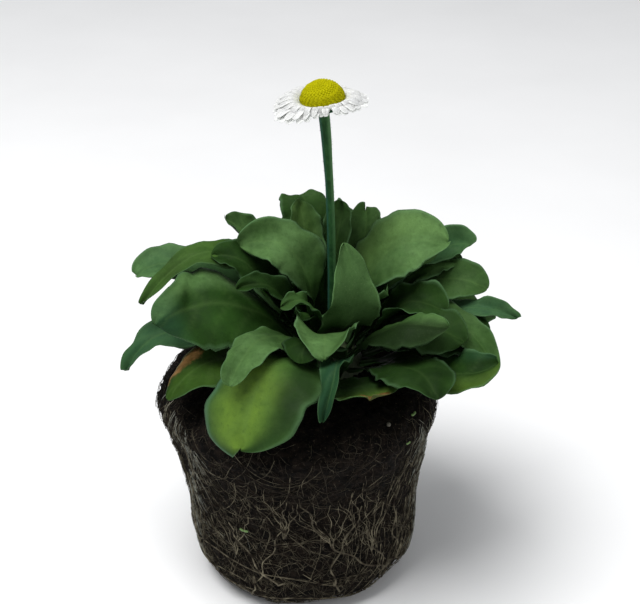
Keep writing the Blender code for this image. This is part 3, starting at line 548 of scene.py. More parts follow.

# %% [markdown]
# ## The green of the leaves
#
# The upper face is a matt mid to dark green that turns bluish where it catches the sky; that bluish tint
# is partly painted sky sheen and partly the leaf's own tone. It has pale veins. A painted lighter rim stands
# for the light caught along the edge, painted light makes each leaf lighter towards its tip, and painted shade
# darkens it towards the crown and in its hollows. The large front leaf and two low ones fade to yellow-green.
# An old leaf goes orange-brown along an edge, and a low front one at its tip. The underside is paler. The mesh
# tells the material where it is: in a spot, on the edge, on a vein, underneath, and how much painted light and
# painted shade it gets. So one material serves all leaves.

# %% Mix the leaf finish
leaf_finish = Finish("leaf_green")
patches, times = leaf_finish.patches, leaf_finish.times
# Each leaf's tone and painted light, broken into patches
tone_and_painted_light_share = times("shade", patches((65, 4, 0.6), (0.3, 0.7, 0.42, 1.5)))
yellowed = times("yellow", patches((130, 5, 0.6), (0.3, 0.65, 0.45, 1.0)))
ragged = leaf_finish.maths("ADD", "old", patches((210, 5, 0.7), (0.3, 0.7, -0.42, 0.26)))
withered = leaf_finish.mix(patches((260, 4, 0.6), (0.35, 0.65)), (132, 98, 58), (84, 62, 26))
leaf_finish.colour = leaf_finish.mix(patches((75, 5, 0.6), (0.32, 0.68)), (16, 37, 8), (37, 68, 20))
leaf_finish.layers(
    # Tone and painted light: lighter green where the leaf's painted light share is high
    (tone_and_painted_light_share, (116, 156, 94)),
    (patches((420, 4, 0.6), (0.3, 0.7, 0.0, 0.3)), (28, 54, 18)),
    # Bluish tint: partly the leaf's own tone, partly painted sky sheen
    ("cool", (44, 84, 66)),
    (yellowed, (98, 128, 46)),
    (leaf_finish.between(ragged, 0.3, 0.65), withered),
    (times("vein", 0.13), (104, 136, 74)),
    # Painted rim light along the edge of the upper face
    (times("edge", 0.55), (92, 128, 88)),
    ("under", (44, 72, 34)),
    # Painted shade, nearly black green
    ("deep", (9, 20, 5)),
    (patches((900, 4, 0.6), (0.55, 0.72, 0.0, 0.25)), (24, 46, 18)),
    # Pale flecks, as strong as the tone and painted light share, so they show most on lit leaves
    (times(patches((1900, 2), (0.6, 0.74, 0.0, 0.12)), tone_and_painted_light_share), (150, 178, 122)),
)
net = leaf_finish.node("ShaderNodeTexVoronoi", Vector=leaf_finish.place, Scale=520.0)
net.feature = "DISTANCE_TO_EDGE"
net_line = leaf_finish.between(net.outputs["Distance"], 0.0, 0.15)
skin_relief = leaf_finish.maths("ADD", times(net_line, 0.06), leaf_finish.noise(230, 4, 0.6))
leaf_finish.bump(skin_relief, 0.35, 0.0006)
leaf_finish.done(Roughness=patches((300,), (0.3, 0.7, 0.55, 0.72)), Specular_IOR_Level=0.05)
print("leaf finish nodes:", len(leaf_finish.tree.nodes))

# %% [markdown]
# Each leaf is now meshed at 60 rows by 27 columns, and its own look is set: how light it is, how yellow,
# how old. How light it is is partly its own tone and partly painted light, more where a leaf lies in the open
# and towards its tip; the values follow the photograph.

# %% Grow the leaves
LEAF_ROWS, LEAF_COLUMNS = 60, 27
# Each leaf's tone and painted light, by its name without leaf_
TONE_AND_PAINTED_LIGHT = dict(
    front_left_large=0.14, front_left_folded=0.38, left_dome=0.03, centre_left=0.5, centre_front=1.0,
    right_broad=0.5, front_cupped=0.35, front_right_rolled=0.31, front_right_round=0.05, right_low=0.03,
    right_long=0.23, right_hollow=0.05, right_upper=0.19, right_narrow=0.32, right_cupped=0.3,
    front_hanging=0.0, left_light=0.43, left_low=0.17, left_bright=0.1, left_old=0.0, left_inner=0.03,
    front_shaded=0.0, centre_small=0.12, heart_right=0.35, front_right_dark=0.09, right_shaded=0.0,
    back_upright=0.31, back_cupped=0.24, back_left_cupped=0.19, behind_stalk=0.14,
)
# A leaf's coloured spots, some of them painted light and painted shade: kind, how strong, how far along,
# how far across, and how far each reaches
WHOLE, FAR_PART = (0.5, 0.0, 1.0, 2.0), (0.7, 0.0, 0.6, 1.5)
SPOT_KINDS = ("yellow", "old", "cool", "deep", "shade")
SPOTS = {
    "front_left_large": [
        ("yellow", 0.95, 0.9, -0.15, 0.26, 0.65),
        ("deep", 0.5, 0.8, 0.62, 0.35, 0.28),
        ("cool", 0.7, 0.75, -1.05, 0.5, 0.2),
    ],
    "left_bright": [("yellow", 0.15, 0.6, 0.0, 0.6, 1.5)],
    "right_low": [("yellow", 0.4, 0.75, -0.9, 0.4, 0.7), ("cool", 0.2, 0.9, 0.9, 0.3, 0.4)],
    "left_old": [("old", 1.0, 0.8, -1.0, 0.17, 0.7), ("yellow", 0.18, 0.8, 0.2, 0.4, 1.0)],
    "back_upright": [("yellow", 0.25, 0.8, 0.3, 0.4, 1.0)],
    "front_right_lowest": [
        ("deep", 0.5, 0.7, 0.0, 0.3, 1.5),
        ("yellow", 0.8, 1.0, 0.0, 0.2, 1.5),
        ("old", 1.0, 1.0, 0.3, 0.1, 1.2),
    ],
    "front_hanging": [("cool", 0.35, 0.6, 0.0, 0.8, 1.5)],
    "left_low": [("cool", 0.4, *FAR_PART)],
    "left_light": [("cool", 0.25, *FAR_PART)],
    "left_dome": [
        ("cool", 0.3, 1.0, 0.0, 0.1, 1.5),
        ("shade", 0.37, 0.72, -0.7, 0.25, 0.4),
        ("shade", 0.37, 0.96, -0.6, 0.08, 0.5),
    ],
    "centre_left": [("deep", 0.5, 0.45, 0.9, 0.4, 0.6)],
    "right_broad": [("deep", 0.4, 0.45, 0.9, 0.35, 0.5), ("yellow", 0.2, 0.7, 0.5, 0.3, 0.5)],
    "centre_front": [("deep", 0.12, 0.4, -0.9, 0.4, 0.4)],
    "left_inner": [("deep", 0.35, *WHOLE)],
    "twisted": [("deep", 0.45, *WHOLE)],
    "right_cupped": [("cool", 0.3, *FAR_PART)],
    "right_narrow": [("cool", 0.4, *FAR_PART)],
    "right_hollow": [("deep", 0.6, 0.5, 0.0, 0.5, 0.85)],
    "front_right_round": [("deep", 0.5, 0.5, 0.0, 0.9, 1.1)],
    "front_right_rolled": [("deep", 0.85, 0.65, -0.45, 0.8, 0.85)],
    "front_right_dark": [("deep", 0.35, *WHOLE)],
    "right_shaded": [("deep", 0.4, *WHOLE)],
    "front_shaded": [("deep", 0.5, *WHOLE)],
}


def spot_share(leaf, kind, run, across):
    share = np.zeros(len(run))
    for found, strength, along, beside, length, width in SPOTS.get(short_name(leaf), ()):
        if found == kind:
            off = np.hypot((run - along) / length, (across - beside) / width)
            share = np.maximum(share, strength * smooth(1.35 - off))
    return share


def grow(name, leaf, light, deep_base):
    """A fine leaf with its own look: light is its tone and painted light, and the last value how much painted
    shade it gets towards the crown.
    """
    points, faces = leaf_mesh(leaf, LEAF_ROWS, LEAF_COLUMNS, True)
    face, row, column = leaf_topology(LEAF_ROWS, LEAF_COLUMNS)[0]
    at, across = leaf_rows(leaf, LEAF_ROWS), np.linspace(-1, 1, LEAF_COLUMNS)
    run, beside = at[row], across[column]
    values = {kind: spot_share(leaf, kind, run, beside) for kind in SPOT_KINDS}
    # Painted shade gathers towards the crown
    values["deep"] = np.maximum(values["deep"], deep_base * (1 - smooth((run - 0.1) / 0.5)))
    # Painted light grows towards the tip of the leaf
    values["shade"] = np.maximum(values["shade"], light * (0.3 + 0.7 * smooth((run - 0.35) / 0.55)))
    values["vein"] = vein_pattern(at, across)[row, column] * smooth((run - 0.05) / 0.2)
    values["edge"] = smooth((np.abs(beside) - 0.87) / 0.13) * (face == 0)
    values["under"] = (face == 1) * 0.75
    fine = add_mesh(name, points, faces, leaf_finish.material, **values)
    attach(fine, "root")
    return fine


for number, leaf in enumerate(placed.values()):
    light = TONE_AND_PAINTED_LIGHT.get(short_name(leaf), 0.12 + 0.09 * even_jitter(number, 1))
    # Lighter leaves get less painted shade towards the crown
    fine = grow(leaf.name.replace("leaf_", "leaf_blade_"), leaf, light, 0.45 if light > 0.26 else 0.7)
    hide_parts(leaf.name)
print("triangles in a leaf:", len(leaf_topology(LEAF_ROWS, LEAF_COLUMNS)[1]))

# %% [markdown]
# Between the big leaves the crown keeps sending up young ones. They fill the heart of the rosette, where
# the photograph is nearly black, and are too small and hidden for the model, so they are only grown here.

# %% Grow the young leaves of the heart
YOUNG_LEAVES = (
    ("twisted", INNER, (219, 26, 50), (210, 37, 42), 10, (0, -40), 25, 1.0, 0.3),
    ("left", INNER, (190, 15, 34), (196, 25, 36), 14, (0, -20), 15, 0.8, 0.3),
    ("front", INNER, (248, 14, 32), (244, 24, 32), 13, (0, 0), 15, 0.8, 0.9),
    ("back", INNER, (100, 8, 34), (95, 12, 44), 16, (0, 0), 15, 0.8, 0.2),
    ("back_left", INNER, (140, 8, 32), (138, 14, 42), 16, (0, 0), 15, 0.8, 0.6),
    ("back_right", INNER, (60, 8, 32), (55, 14, 42), 16, (0, 0), 15, 0.8, 0.9),
    ("right", INNER, (10, 12, 30), (12, 20, 32), 14, (0, 0), 15, 0.8, 0.4),
    ("far_left", INNER, (172, 12, 32), (170, 20, 38), 15, (0, 0), 15, 0.8, 0.1),
    ("low_back", INNER, (95, 12, 18), (95, 18, 26), 22, (0, 0), 10, 0.8, 0.1, 0.5),
    ("low_back_left", MIDDLE, (135, 16, 18), (138, 24, 22), 22, (0, 0), 10, 0.8, 0.5, 0.5),
    ("low_back_right", MIDDLE, (55, 16, 18), (50, 24, 22), 22, (0, 0), 10, 0.8, 0.8, 0.5),
    ("low_right", MIDDLE, (20, 18, 20), (18, 30, 20), 22, (0, 0), 10, 0.8, 0.2, 0.5),
    ("low_front_right", MIDDLE, (345, 20, 16), (343, 34, 16), 20, (0, 0), 10, 0.8, 0.7, 0.5),
    ("behind_right", MIDDLE, (14, 34, 48), (10, 45, 38), 16, (0, 20), 10, 0.8, 0.3, 0.5),
    ("under_right", OUTER, (334, 36, 20), (334, 53, 13), 22, (0, 0), 0, 0.8, 0.6, 0.5),
)
OUTER_YOUNG = ("behind_right", "under_right")
for leaf in (Leaf(*row) for row in YOUNG_LEAVES):
    # The heart's young leaves get strong painted shade; the two outer ones more painted light and less painted
    # shade
    light, deep_base = (0.22, 0.3) if leaf.name in OUTER_YOUNG else (0.03, 0.85)
    grow("young_leaf_" + leaf.name, leaf, light, deep_base)

# %% [markdown]
# ## The root ball
#
# The peat took the shape of the pot, and then the roots held it together. Its skin is a crust of crumbs and
# fibres, nearly black. The model's plain skin is drawn again with many more points and pushed in and out by
# three sizes of noise: lumps, crumbs and grit. A displace modifier would do the same; the formula is used so
# that the roots can later be laid on exactly the same skin.

# %% The skin of the peat
BALL_TOP_RADIUS, BALL_FOOT_RADIUS = 50.5 * MM, 40.5 * MM
BALL_FOOT_SHIFT = Vector((1.8 * MM, -2.5 * MM, 0))
BALL_WAIST, BALL_WAIST_AT, WAIST_SHARE = 2.5 * MM, 0.6, 0.36
BALL_FOOT_ROUND, BALL_RIM_ROUND = 14 * MM, 9 * MM
BALL_TOP_RISE = 1.5 * MM
BALL_LUMP, BALL_LUMP_SIZE = 1.4 * MM, 17 * MM


def ball_surface(turn, run):
    """A point of the root ball's skin and its outward normal, run 0 at the foot and 1 inside the rim."""
    lean = math.atan2(BALL_TOP_RADIUS - BALL_FOOT_RADIUS, BALL_HEIGHT)
    foot_arc, rim_arc = BALL_FOOT_ROUND * (math.pi / 2 + lean), BALL_RIM_ROUND * (math.pi / 2 - lean)
    foot = np.array([BALL_FOOT_RADIUS - BALL_FOOT_ROUND, BALL_FOOT_ROUND])
    rim = np.array([BALL_TOP_RADIUS - BALL_RIM_ROUND, BALL_HEIGHT - BALL_RIM_ROUND])
    square = np.array([math.cos(lean), -math.sin(lean)])
    low, high = foot + square * BALL_FOOT_ROUND, rim + square * BALL_RIM_ROUND
    side = float(np.linalg.norm(high - low))
    walked = run * (foot_arc + side + rim_arc)
    if walked < foot_arc:
        angle = -math.pi / 2 + walked / BALL_FOOT_ROUND
        normal = np.array([math.cos(angle), math.sin(angle)])
        point = foot + normal * BALL_FOOT_ROUND
    elif walked < foot_arc + side:
        normal, point = square, lerp(low, high, (walked - foot_arc) / side)
    else:
        angle = -lean + (walked - foot_arc - side) / BALL_RIM_ROUND
        normal = np.array([math.cos(angle), math.sin(angle)])
        point = rim + normal * BALL_RIM_ROUND
    out = Vector((math.cos(turn), math.sin(turn), 0))
    waist = BALL_WAIST * smooth(1 - abs(run - BALL_WAIST_AT) / WAIST_SHARE)
    shift = BALL_FOOT_SHIFT * (1 - point[1] / BALL_HEIGHT)
    skin = out * (point[0] - waist) + Vector((0, 0, point[1])) + shift
    facing = out * normal[0] + Vector((0, 0, normal[1]))
    lump = noise.noise(skin / BALL_LUMP_SIZE) * BALL_LUMP
    return skin + facing * lump * smooth(run * 12), facing


def crumbs(place):
    """How far the crust stands out there, in metres."""
    coarse = noise.noise(place / (6 * MM)) * 0.8
    fine = noise.turbulence(place / (2.6 * MM), 3, True) * 1.35 - 0.6
    return (coarse + fine) * MM


@lru_cache
def turns_of(count):
    """The angles of the points of a ring."""
    return [2 * math.pi * k / count for k in range(count)]


SKIN_TURNS, SKIN_RUNS, TOP_RINGS = 300, 130, 46
crust = [Vector((0, 0, BALL_HEIGHT + BALL_TOP_RISE))]
for step in range(1, TOP_RINGS):
    radius = (BALL_TOP_RADIUS - BALL_RIM_ROUND) * step / TOP_RINGS
    height = BALL_HEIGHT + BALL_TOP_RISE * (1 - 0.5 * smooth(radius / (25 * MM)))
    for turn in turns_of(SKIN_TURNS):
        place = Vector((radius * math.cos(turn), radius * math.sin(turn), height))
        lump = noise.noise(place / BALL_LUMP_SIZE) * BALL_LUMP
        crust.append(place + Vector((0, 0, lump + 1.6 * crumbs(place))))
for k in range(SKIN_RUNS):
    run = 1 - k / (SKIN_RUNS - 1)
    for turn in turns_of(SKIN_TURNS):
        skin, facing = ball_surface(turn, run)
        place = skin + facing * crumbs(skin) * (0.15 + 0.85 * smooth((run - 0.06) * 10))
        crust.append(Vector((place.x, place.y, max(place.z, 0))))
crust.append(BALL_FOOT_SHIFT.copy())


def ring_faces(rings, sides):
    """Faces between rings of points, from the top down, with one point before them and one after."""
    last, low = rings * sides + 1, 1 + (rings - 1) * sides
    faces = [(0, 1 + k, 1 + (k + 1) % sides) for k in range(sides)]
    for high in range(1, low, sides):
        for k in range(sides):
            following = (k + 1) % sides
            faces.append((high + k, high + sides + k, high + sides + following, high + following))
    return faces + [(last, low + (k + 1) % sides, low + k) for k in range(sides)]


# %% [markdown]
# Wet peat is close to black, and its dry crumbs are brown. A noise at crumb size picks between them, and
# a second, finer one gives the bump of the grit.

# %% Mix the peat and lay the crust
peat_finish = Finish("peat")
crumb_mask = peat_finish.patches((330, 5, 0.65), (0.42, 0.68))
peat_finish.colour = peat_finish.mix(crumb_mask, (7, 6, 5), (30, 24, 19))
peat_finish.layers((peat_finish.patches((1300, 3, 0.6), (0.6, 0.72)), (64, 56, 46)))
peat_finish.bump(peat_finish.noise(900, 6, 0.7), 0.9, 0.0008)
peat_finish.done(Roughness=0.95, Specular_IOR_Level=0.1)
faces = ring_faces(SKIN_RUNS + TOP_RINGS - 1, SKIN_TURNS)
peat = add_mesh("peat_crust", crust, faces, peat_finish.material)
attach(peat, "root")
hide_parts("soil")
print("crust points:", len(crust))

# %% [markdown]
# ## The roots
#
# Roots are tubes that lie on the skin. A curve object with a bevel would draw one; hundreds of them are
# quicker as one mesh, with a ring of points at each step of the route. The thick roots follow the net of
# the model, and two finer sizes are sown between them, each wandering downhill or sideways.

# %% Lay the thick roots of the net
FRONT_ROOTS = (
    ((212, 0.88), (220, 0.8), (214, 0.66), (207, 0.5), (207, 0.32), (210, 0.18)),
    ((234, 0.54), (240, 0.44), (249, 0.34), (262, 0.25)),
    ((264, 0.72), (264, 0.6), (258, 0.48), (252, 0.38), (246, 0.24), (243, 0.15)),
    ((270, 0.74), (276, 0.6), (282, 0.5), (291, 0.42), (303, 0.34), (318, 0.26), (330, 0.2)),
    ((288, 0.7), (294, 0.58), (309, 0.4), (316, 0.26), (318, 0.16)),
    ((300, 0.64), (294, 0.52), (288, 0.46), (284, 0.34), (288, 0.2)),
    ((321, 0.8), (321, 0.58), (318, 0.44), (327, 0.3)),
    ((312, 0.56), (327, 0.4), (338, 0.22)),
    ((357, 0.78), (354, 0.54), (351, 0.36), (346, 0.2)),
)
ROOT_RINGS = ((0.29, 0.05), (0.17, 0.02))
BACK_ROOTS = 15
ROOT_HALF = 0.3 * MM
ROOT_SIDES = 6


class Bunch:
    """Many small solids gathered into one mesh, with a value kept for each of their points."""

    def __init__(self):
        self.points, self.faces, self.values = [], [], []

    def add(self, points, faces, value=0.0):
        """Adds a solid. The value is one number, or one for each of its points."""
        first = len(self.points)
        self.points += [tuple(point) for point in points]
        self.faces += [tuple(first + corner for corner in face) for face in faces]
        self.values += np.broadcast_to(value, len(points)).tolist()

    def make(self, name, finish, value_name=None, place=Matrix()):
        values = {value_name: self.values} if value_name else {}
        made = add_mesh(name, self.points, self.faces, finish.material, **values)
        made.data.transform(place)
        return made


@lru_cache
def tube_faces(rings, sides, other_way=False):
    """Faces of a closed tube whose points go ring by ring, for rings that turn either way."""
    faces, last = [], (rings - 1) * sides
    for ring in range(0, last, sides):
        for k in range(sides):
            a, b = ring + k, ring + (k + 1) % sides
            faces.append((a, a + sides, b + sides, b) if other_way else (a, b, b + sides, a + sides))
    foot, top = tuple(range(sides)), tuple(range(last, last + sides))
    return faces + ([foot, top[::-1]] if other_way else [foot[::-1], top])


def lay_root(bunch, route, half, stand_off, tint, sides=ROOT_SIDES, rough=0.12, rise=0.0):
    """Adds a round, tapering root that follows a route of (turn in degrees, run) over the skin.

    With a rise, each stop stands off by that much more than the one before.
    """
    centres, ups, points = [], [], []
    for k, (turn, run) in enumerate(route):
        skin, facing = ball_surface(math.radians(turn), min(max(run, 0.015), 0.985))
        centre = skin + facing * (stand_off + rise * k)
        centres.append(Vector((centre.x, centre.y, max(centre.z, half))))
        ups.append(facing)
    last = len(centres) - 1
    for k, (centre, up) in enumerate(zip(centres, ups)):
        ahead = (centres[min(k + 1, last)] - centres[max(k - 1, 0)]).normalized()
        side = ahead.cross(up).normalized()
        square = side.cross(ahead)
        knobbly = 1 + rough * math.sin(2.1 * k + 40 * tint) + rough * math.sin(5.3 * k)
        wide = half * (1 - 0.55 * k / last) * knobbly
        for angle in turns_of(sides):
            points.append(centre + side * wide * math.cos(angle) + square * wide * math.sin(angle))
    bunch.add(points, tube_faces(last + 1, sides, True), tint)


def finer(route, turn_step=2.5, run_step=0.02):
    """The same route with many more stops, so that it bends softly with the skin."""
    full = []
    for (turn, run), (next_turn, next_run) in zip(route, route[1:]):
        steps = math.ceil(max(abs(next_turn - turn) / turn_step, abs(next_run - run) / run_step))
        full += [(lerp(turn, next_turn, k / steps), lerp(run, next_run, k / steps)) for k in range(steps)]
    full.append(route[-1])
    softened = [full[0]]
    for k in range(1, len(full) - 1):
        near = full[max(k - 3, 0) : k + 4]
        softened.append((sum(p[0] for p in near) / len(near), sum(p[1] for p in near) / len(near)))
    return softened + [full[-1]]


def back_route(number):
    vary = [even_jitter(number, kind) for kind in range(4)]
    turn = 180 * (number + 0.5) / BACK_ROOTS + 3 * vary[0]
    middle, low = turn + 10 * vary[1], turn + 18 * vary[2]
    top = (turn, 0.62 + 0.18 * vary[3])
    return top, (middle, 0.42 + 0.05 * vary[2]), (low, 0.27), (low + 3 * vary[1], 0.14)


def ring_route(number, level, dip, steps=120):
    route = []
    for k in range(steps + 1):
        turn = 2 * math.pi * k / steps + number
        wander = dip * math.sin(2 * turn + number) + 0.012 * math.sin(7 * turn)
        route.append((math.degrees(turn), level + wander + 0.02 * k / steps))
    return route


thick = Bunch()
for number, (level, dip) in enumerate(ROOT_RINGS):
    lay_root(thick, ring_route(number, level, dip), ROOT_HALF * 0.9, 0.9 * MM, 0.5)
for number, route in enumerate([*FRONT_ROOTS, *(back_route(number) for number in range(BACK_ROOTS))]):
    half = ROOT_HALF * (1.1 + 0.3 * even_jitter(number, 4))
    way = [(turn + 1.3 * math.sin(0.9 * k + number), run) for k, (turn, run) in enumerate(finer(route))]
    lay_root(thick, way[::-1], half, 0.95 * MM, 0.55 + 0.25 * even_jitter(number, 2))
print("thick root faces:", len(thick.faces))

# %% [markdown]
# The finer roots are sown by chance, but the chance is seeded, so every run grows the same ones. Most start
# somewhere on the skin and wander down; near the foot, where the pot held them back, they turn and run
# round the ball, which is why it is so densely matted there. Two bands of young, nearly white roots run down
# the left and the right side, as the photograph shows.

# %% Sow the finer roots
chance = np.random.default_rng(7)
BALL_RADIUS_MM, SKIN_LENGTH_MM = 47, 103
DEGREES_IN_RADIAN = 57.3
MEDIUM_ROOTS, CLUSTER_ROOTS, BAND_STRANDS, FINE_ROOTS = 330, 46, 110, 3500


def wandering_route(start, heading, length, steps, restless):
    """A wavy route over the skin from (turn, run), heading in degrees, 270 straight down, length in mm."""
    turn, run = start
    route = [start]
    beat, sway = chance.uniform(0, 6.28), chance.uniform(0.5, 1.5) * 30 / steps
    step = length / steps
    for number in range(steps):
        heading += chance.normal(0, restless) + sway * math.cos(beat + 9 * number / steps)
        turn += math.cos(math.radians(heading)) * step / BALL_RADIUS_MM * DEGREES_IN_RADIAN
        run += math.sin(math.radians(heading)) * step / SKIN_LENGTH_MM
        if run < 0.1:
            heading = -heading * 0.3
        route.append((turn, min(max(run, 0.03), 0.98)))
    return route


def sow(start, heading, length, steps, restless, half, stand_off, tint, run_step=0.02):
    """Lays one finer root. Its length, half width and stand off in mm and its tint are drawn from ranges."""
    way = wandering_route(start, heading, chance.uniform(*length), steps, restless)
    half, stand_off, tint = (chance.uniform(*span) for span in (half, stand_off, tint))
    lay_root(medium, finer(way, run_step=run_step), half * MM, stand_off * MM, tint, 4)


medium = Bunch()
for _ in range(MEDIUM_ROOTS):
    low = chance.random() < 0.5
    start = (chance.uniform(0, 360), chance.uniform(0.14, 0.55) if low else chance.uniform(0.3, 0.97))
    if low:
        heading = chance.choice([205, 335, 235, 305, 40, 140]) + chance.normal(0, 12)
    else:
        heading = chance.normal(270, 28)
    sow(start, heading, (12, 38), 20, 11, (0.08, 0.16), (0.4, 1.0), (0.1, 0.8), 0.03)
for route in FRONT_ROOTS:
    for turn, run in route[1:-1]:
        for _ in range(2):
            way = wandering_route((turn, run), chance.normal(90, 30), chance.uniform(8, 22), 14, 15)
            lift = chance.uniform(0.5, 1.1) * MM
            lay_root(medium, finer(way), chance.uniform(0.08, 0.15) * MM, lift, chance.uniform(0.3, 0.8), 4)
# Where a bundle opens into a fan, the turns its strands reach, and how high they reach
FANS = (
    ((263, 0.52), (252, 256, 259, 263, 267, 270), 0.73),
    ((285, 0.47), (266, 270, 275, 283, 288, 293), 0.69),
    ((306, 0.4), (296, 301, 307, 313, 320), 0.7),
    ((236, 0.38), (228, 233, 241, 246), 0.6),
)
for (turn, run), ends, high in FANS:
    for end in ends:
        top = high + chance.normal(0, 0.03)
        way = [(turn, run), (lerp(turn, end, 0.3), lerp(run, top, 0.4))]
        way += [(end, lerp(run, top, 0.75)), (end, top)]
        way = [(a + 0.7 * math.sin(1.1 * k + end), b) for k, (a, b) in enumerate(finer(way))]
        lay_root(medium, way, chance.uniform(0.15, 0.21) * MM, 1.0 * MM, chance.uniform(0.6, 0.85), 5)
for _ in range(CLUSTER_ROOTS):
    start = (chance.uniform(292, 346), chance.uniform(0.35, 0.8))
    sow(start, chance.normal(268, 16), (8, 24), 16, 8, (0.1, 0.2), (0.6, 1.1), (0.5, 0.8))
BANDS = (
    ((326, 0.93), (334, 0.84), (340, 0.72), (339, 0.6), (344, 0.48), (345, 0.36), (345, 0.2)),
    ((200, 0.97), (214, 0.93), (224, 0.86), (215, 0.64), (205, 0.42), (202, 0.24)),
)
for band in BANDS:
    for _ in range(BAND_STRANDS):
        first = chance.integers(0, len(band) - 1)
        share, aside = chance.random(), chance.normal(0, 3.0)
        turn, run = (lerp(here, there, share) for here, there in zip(band[first], band[first + 1]))
        start, heading = (turn + aside, run), chance.normal(268, 12)
        sow(start, heading, (6, 18), 10, 7, (0.07, 0.16), (0.5, 1.3), (0.86, 0.98))
fine = Bunch()
for _ in range(FINE_ROOTS):
    start = (chance.uniform(0, 360), chance.uniform(0.05, 0.98))
    heading = chance.normal(270, 45) if start[1] > 0.45 else chance.uniform(0, 360)
    route = wandering_route(start, heading, chance.uniform(4, 15), 7, 26)
    tilt = chance.uniform(-0.08, 0.1) * MM
    base = chance.uniform(0.2, 0.8) * MM
    size = chance.uniform(0.05, 0.12) * MM
    pale = chance.uniform(0, 0.4) if start[1] > 0.55 else chance.uniform(0.05, 0.6)
    if 208 < start[0] < 254 and 0.42 < start[1] < 0.8:
        pale += 0.35
    lay_root(fine, route, size, base, pale, 3, 0.0, tilt)
print("medium and fine root faces:", len(medium.faces), len(fine.faces))

# %% [markdown]
# A young root is nearly white and an old one brown, and peat sticks to both. One finish does for all three
# sizes, because each root carries its own tint.

# %% Mix the root finish and make the three bundles
root_finish = Finish("root_skin")
root_finish.colour = root_finish.mix(root_finish.between("tint", 0.0, 0.8), (38, 32, 24), (134, 127, 106))
root_finish.layers((root_finish.between("tint", 0.85, 1.0), (168, 174, 166)))
grime = root_finish.patches((420, 4), (0.35, 0.65))
root_finish.colour = root_finish.mix(grime, (36, 29, 21), root_finish.colour)
root_finish.bump(root_finish.noise(1800, 3), 0.5, 0.0003)
root_finish.done(Roughness=0.8, Specular_IOR_Level=0.15)
for name, bunch in (("thick_roots", thick), ("medium_roots", medium), ("fine_roots", fine)):
    roots = bunch.make(name, root_finish, "tint")
    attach(roots, "root")
    if name == "thick_roots":
        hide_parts("root_net")

# %% [markdown]
# ## The crown and the stalk
#
# The crown is the short stump that all leaves grow from, hidden under them, so its plain form from the
# model stays and only gets the finish of dark, streaked leaf bases. The stalk is finely ribbed and downy.

# %% Finish the crown
crown_finish = Finish("crown_green")
crown_finish.colour = crown_finish.mix(crown_finish.patches((240, 4), (0.3, 0.7)), (30, 40, 20), (58, 72, 38))
crown_finish.bump(crown_finish.noise(700, 4), 0.6, 0.0006)
crown_finish.done(Roughness=0.7)
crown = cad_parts["crown"]
crown.data.materials.clear()
crown.data.materials.append(crown_finish.material)

# %% [markdown]
# The stalk is a tube along the same soft curve as in the model, with eight shallow ribs. A curve with a
# ribbed bevel would do too. Here its points are set one by one, so that each also knows how far to the right
# it lies: the left side gets a painted bluish sheen and the right side painted light.

# %% Grow the stalk
HEAD_AT = Vector((8.7 * MM, 1 * MM, 179.6 * MM))
HEAD_LEAN = Vector((-0.09, -0.06, 1.0))
CUP_FOOT = -3.9 * MM
STALK_RADIUS, STALK_TOP_RADIUS = 1.4 * MM, 1.85 * MM
STALK_RINGS, STALK_SIDES = 90, 24
STALK_SOCKET, STALK_GAP = 3.7 * MM, 0.3 * MM
FOOT_HANDLE, TOP_HANDLE = 40, 30  # mm
head_turn = Vector((0, 0, 1)).rotation_difference(HEAD_LEAN)
head_matrix = Matrix.Translation(HEAD_AT) @ head_turn.to_matrix().to_4x4()

stalk_foot = CROWN_AT + Vector((0, 0, CROWN_RISE - STALK_SOCKET))
stalk_top = head_matrix @ Vector((0, 0, CUP_FOOT - STALK_GAP))
first_handle = stalk_foot + Vector((0, 0, FOOT_HANDLE * MM))
second_handle = stalk_top - HEAD_LEAN.normalized() * TOP_HANDLE * MM
stalk_points, rights = [], []
for k in range(STALK_RINGS + 1):
    t = k / STALK_RINGS
    u = 1 - t
    centre = stalk_foot * u**3 + first_handle * 3 * u**2 * t + second_handle * 3 * u * t**2 + stalk_top * t**3
    radius = lerp(STALK_RADIUS, STALK_TOP_RADIUS, smooth(3 * t - 2))
    for angle in turns_of(STALK_SIDES):
        wide = radius * (1 + 0.045 * math.cos(8 * angle + 2 * t) + 0.02 * math.sin(30 * t + angle))
        stalk_points.append(centre + Vector((math.cos(angle), math.sin(angle), 0)) * wide)
        rights.append(0.5 + 0.5 * math.cos(angle))

stalk_finish = Finish("stalk_green")
streaks = stalk_finish.patches((380, 3), (0.35, 0.65))
stalk_finish.colour = stalk_finish.mix(streaks, (28, 62, 32), (44, 84, 44))
stalk_finish.layers(
    # Painted bluish sheen on the left side, and painted light on the right side
    (stalk_finish.between("right", 0.3, 0.05), (44, 88, 72)),
    (stalk_finish.between("right", 0.6, 0.95, 0.0, 0.8), (84, 126, 80)),
)
stalk_finish.bump(stalk_finish.noise(1500, 3), 0.35, 0.0003)
stalk_finish.done(Roughness=0.6, Specular_IOR_Level=0.1)
faces = tube_faces(STALK_RINGS + 1, STALK_SIDES)
stalk = add_mesh("stalk", stalk_points, faces, stalk_finish.material, right=rights)
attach(stalk, "root")
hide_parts("flower_stalk")

# %% [markdown]
# The down is a few hundred tiny hairs. Each is a thin spike with three sides and a foot, the fewest faces
# that close, because at this size nobody can see more of them.

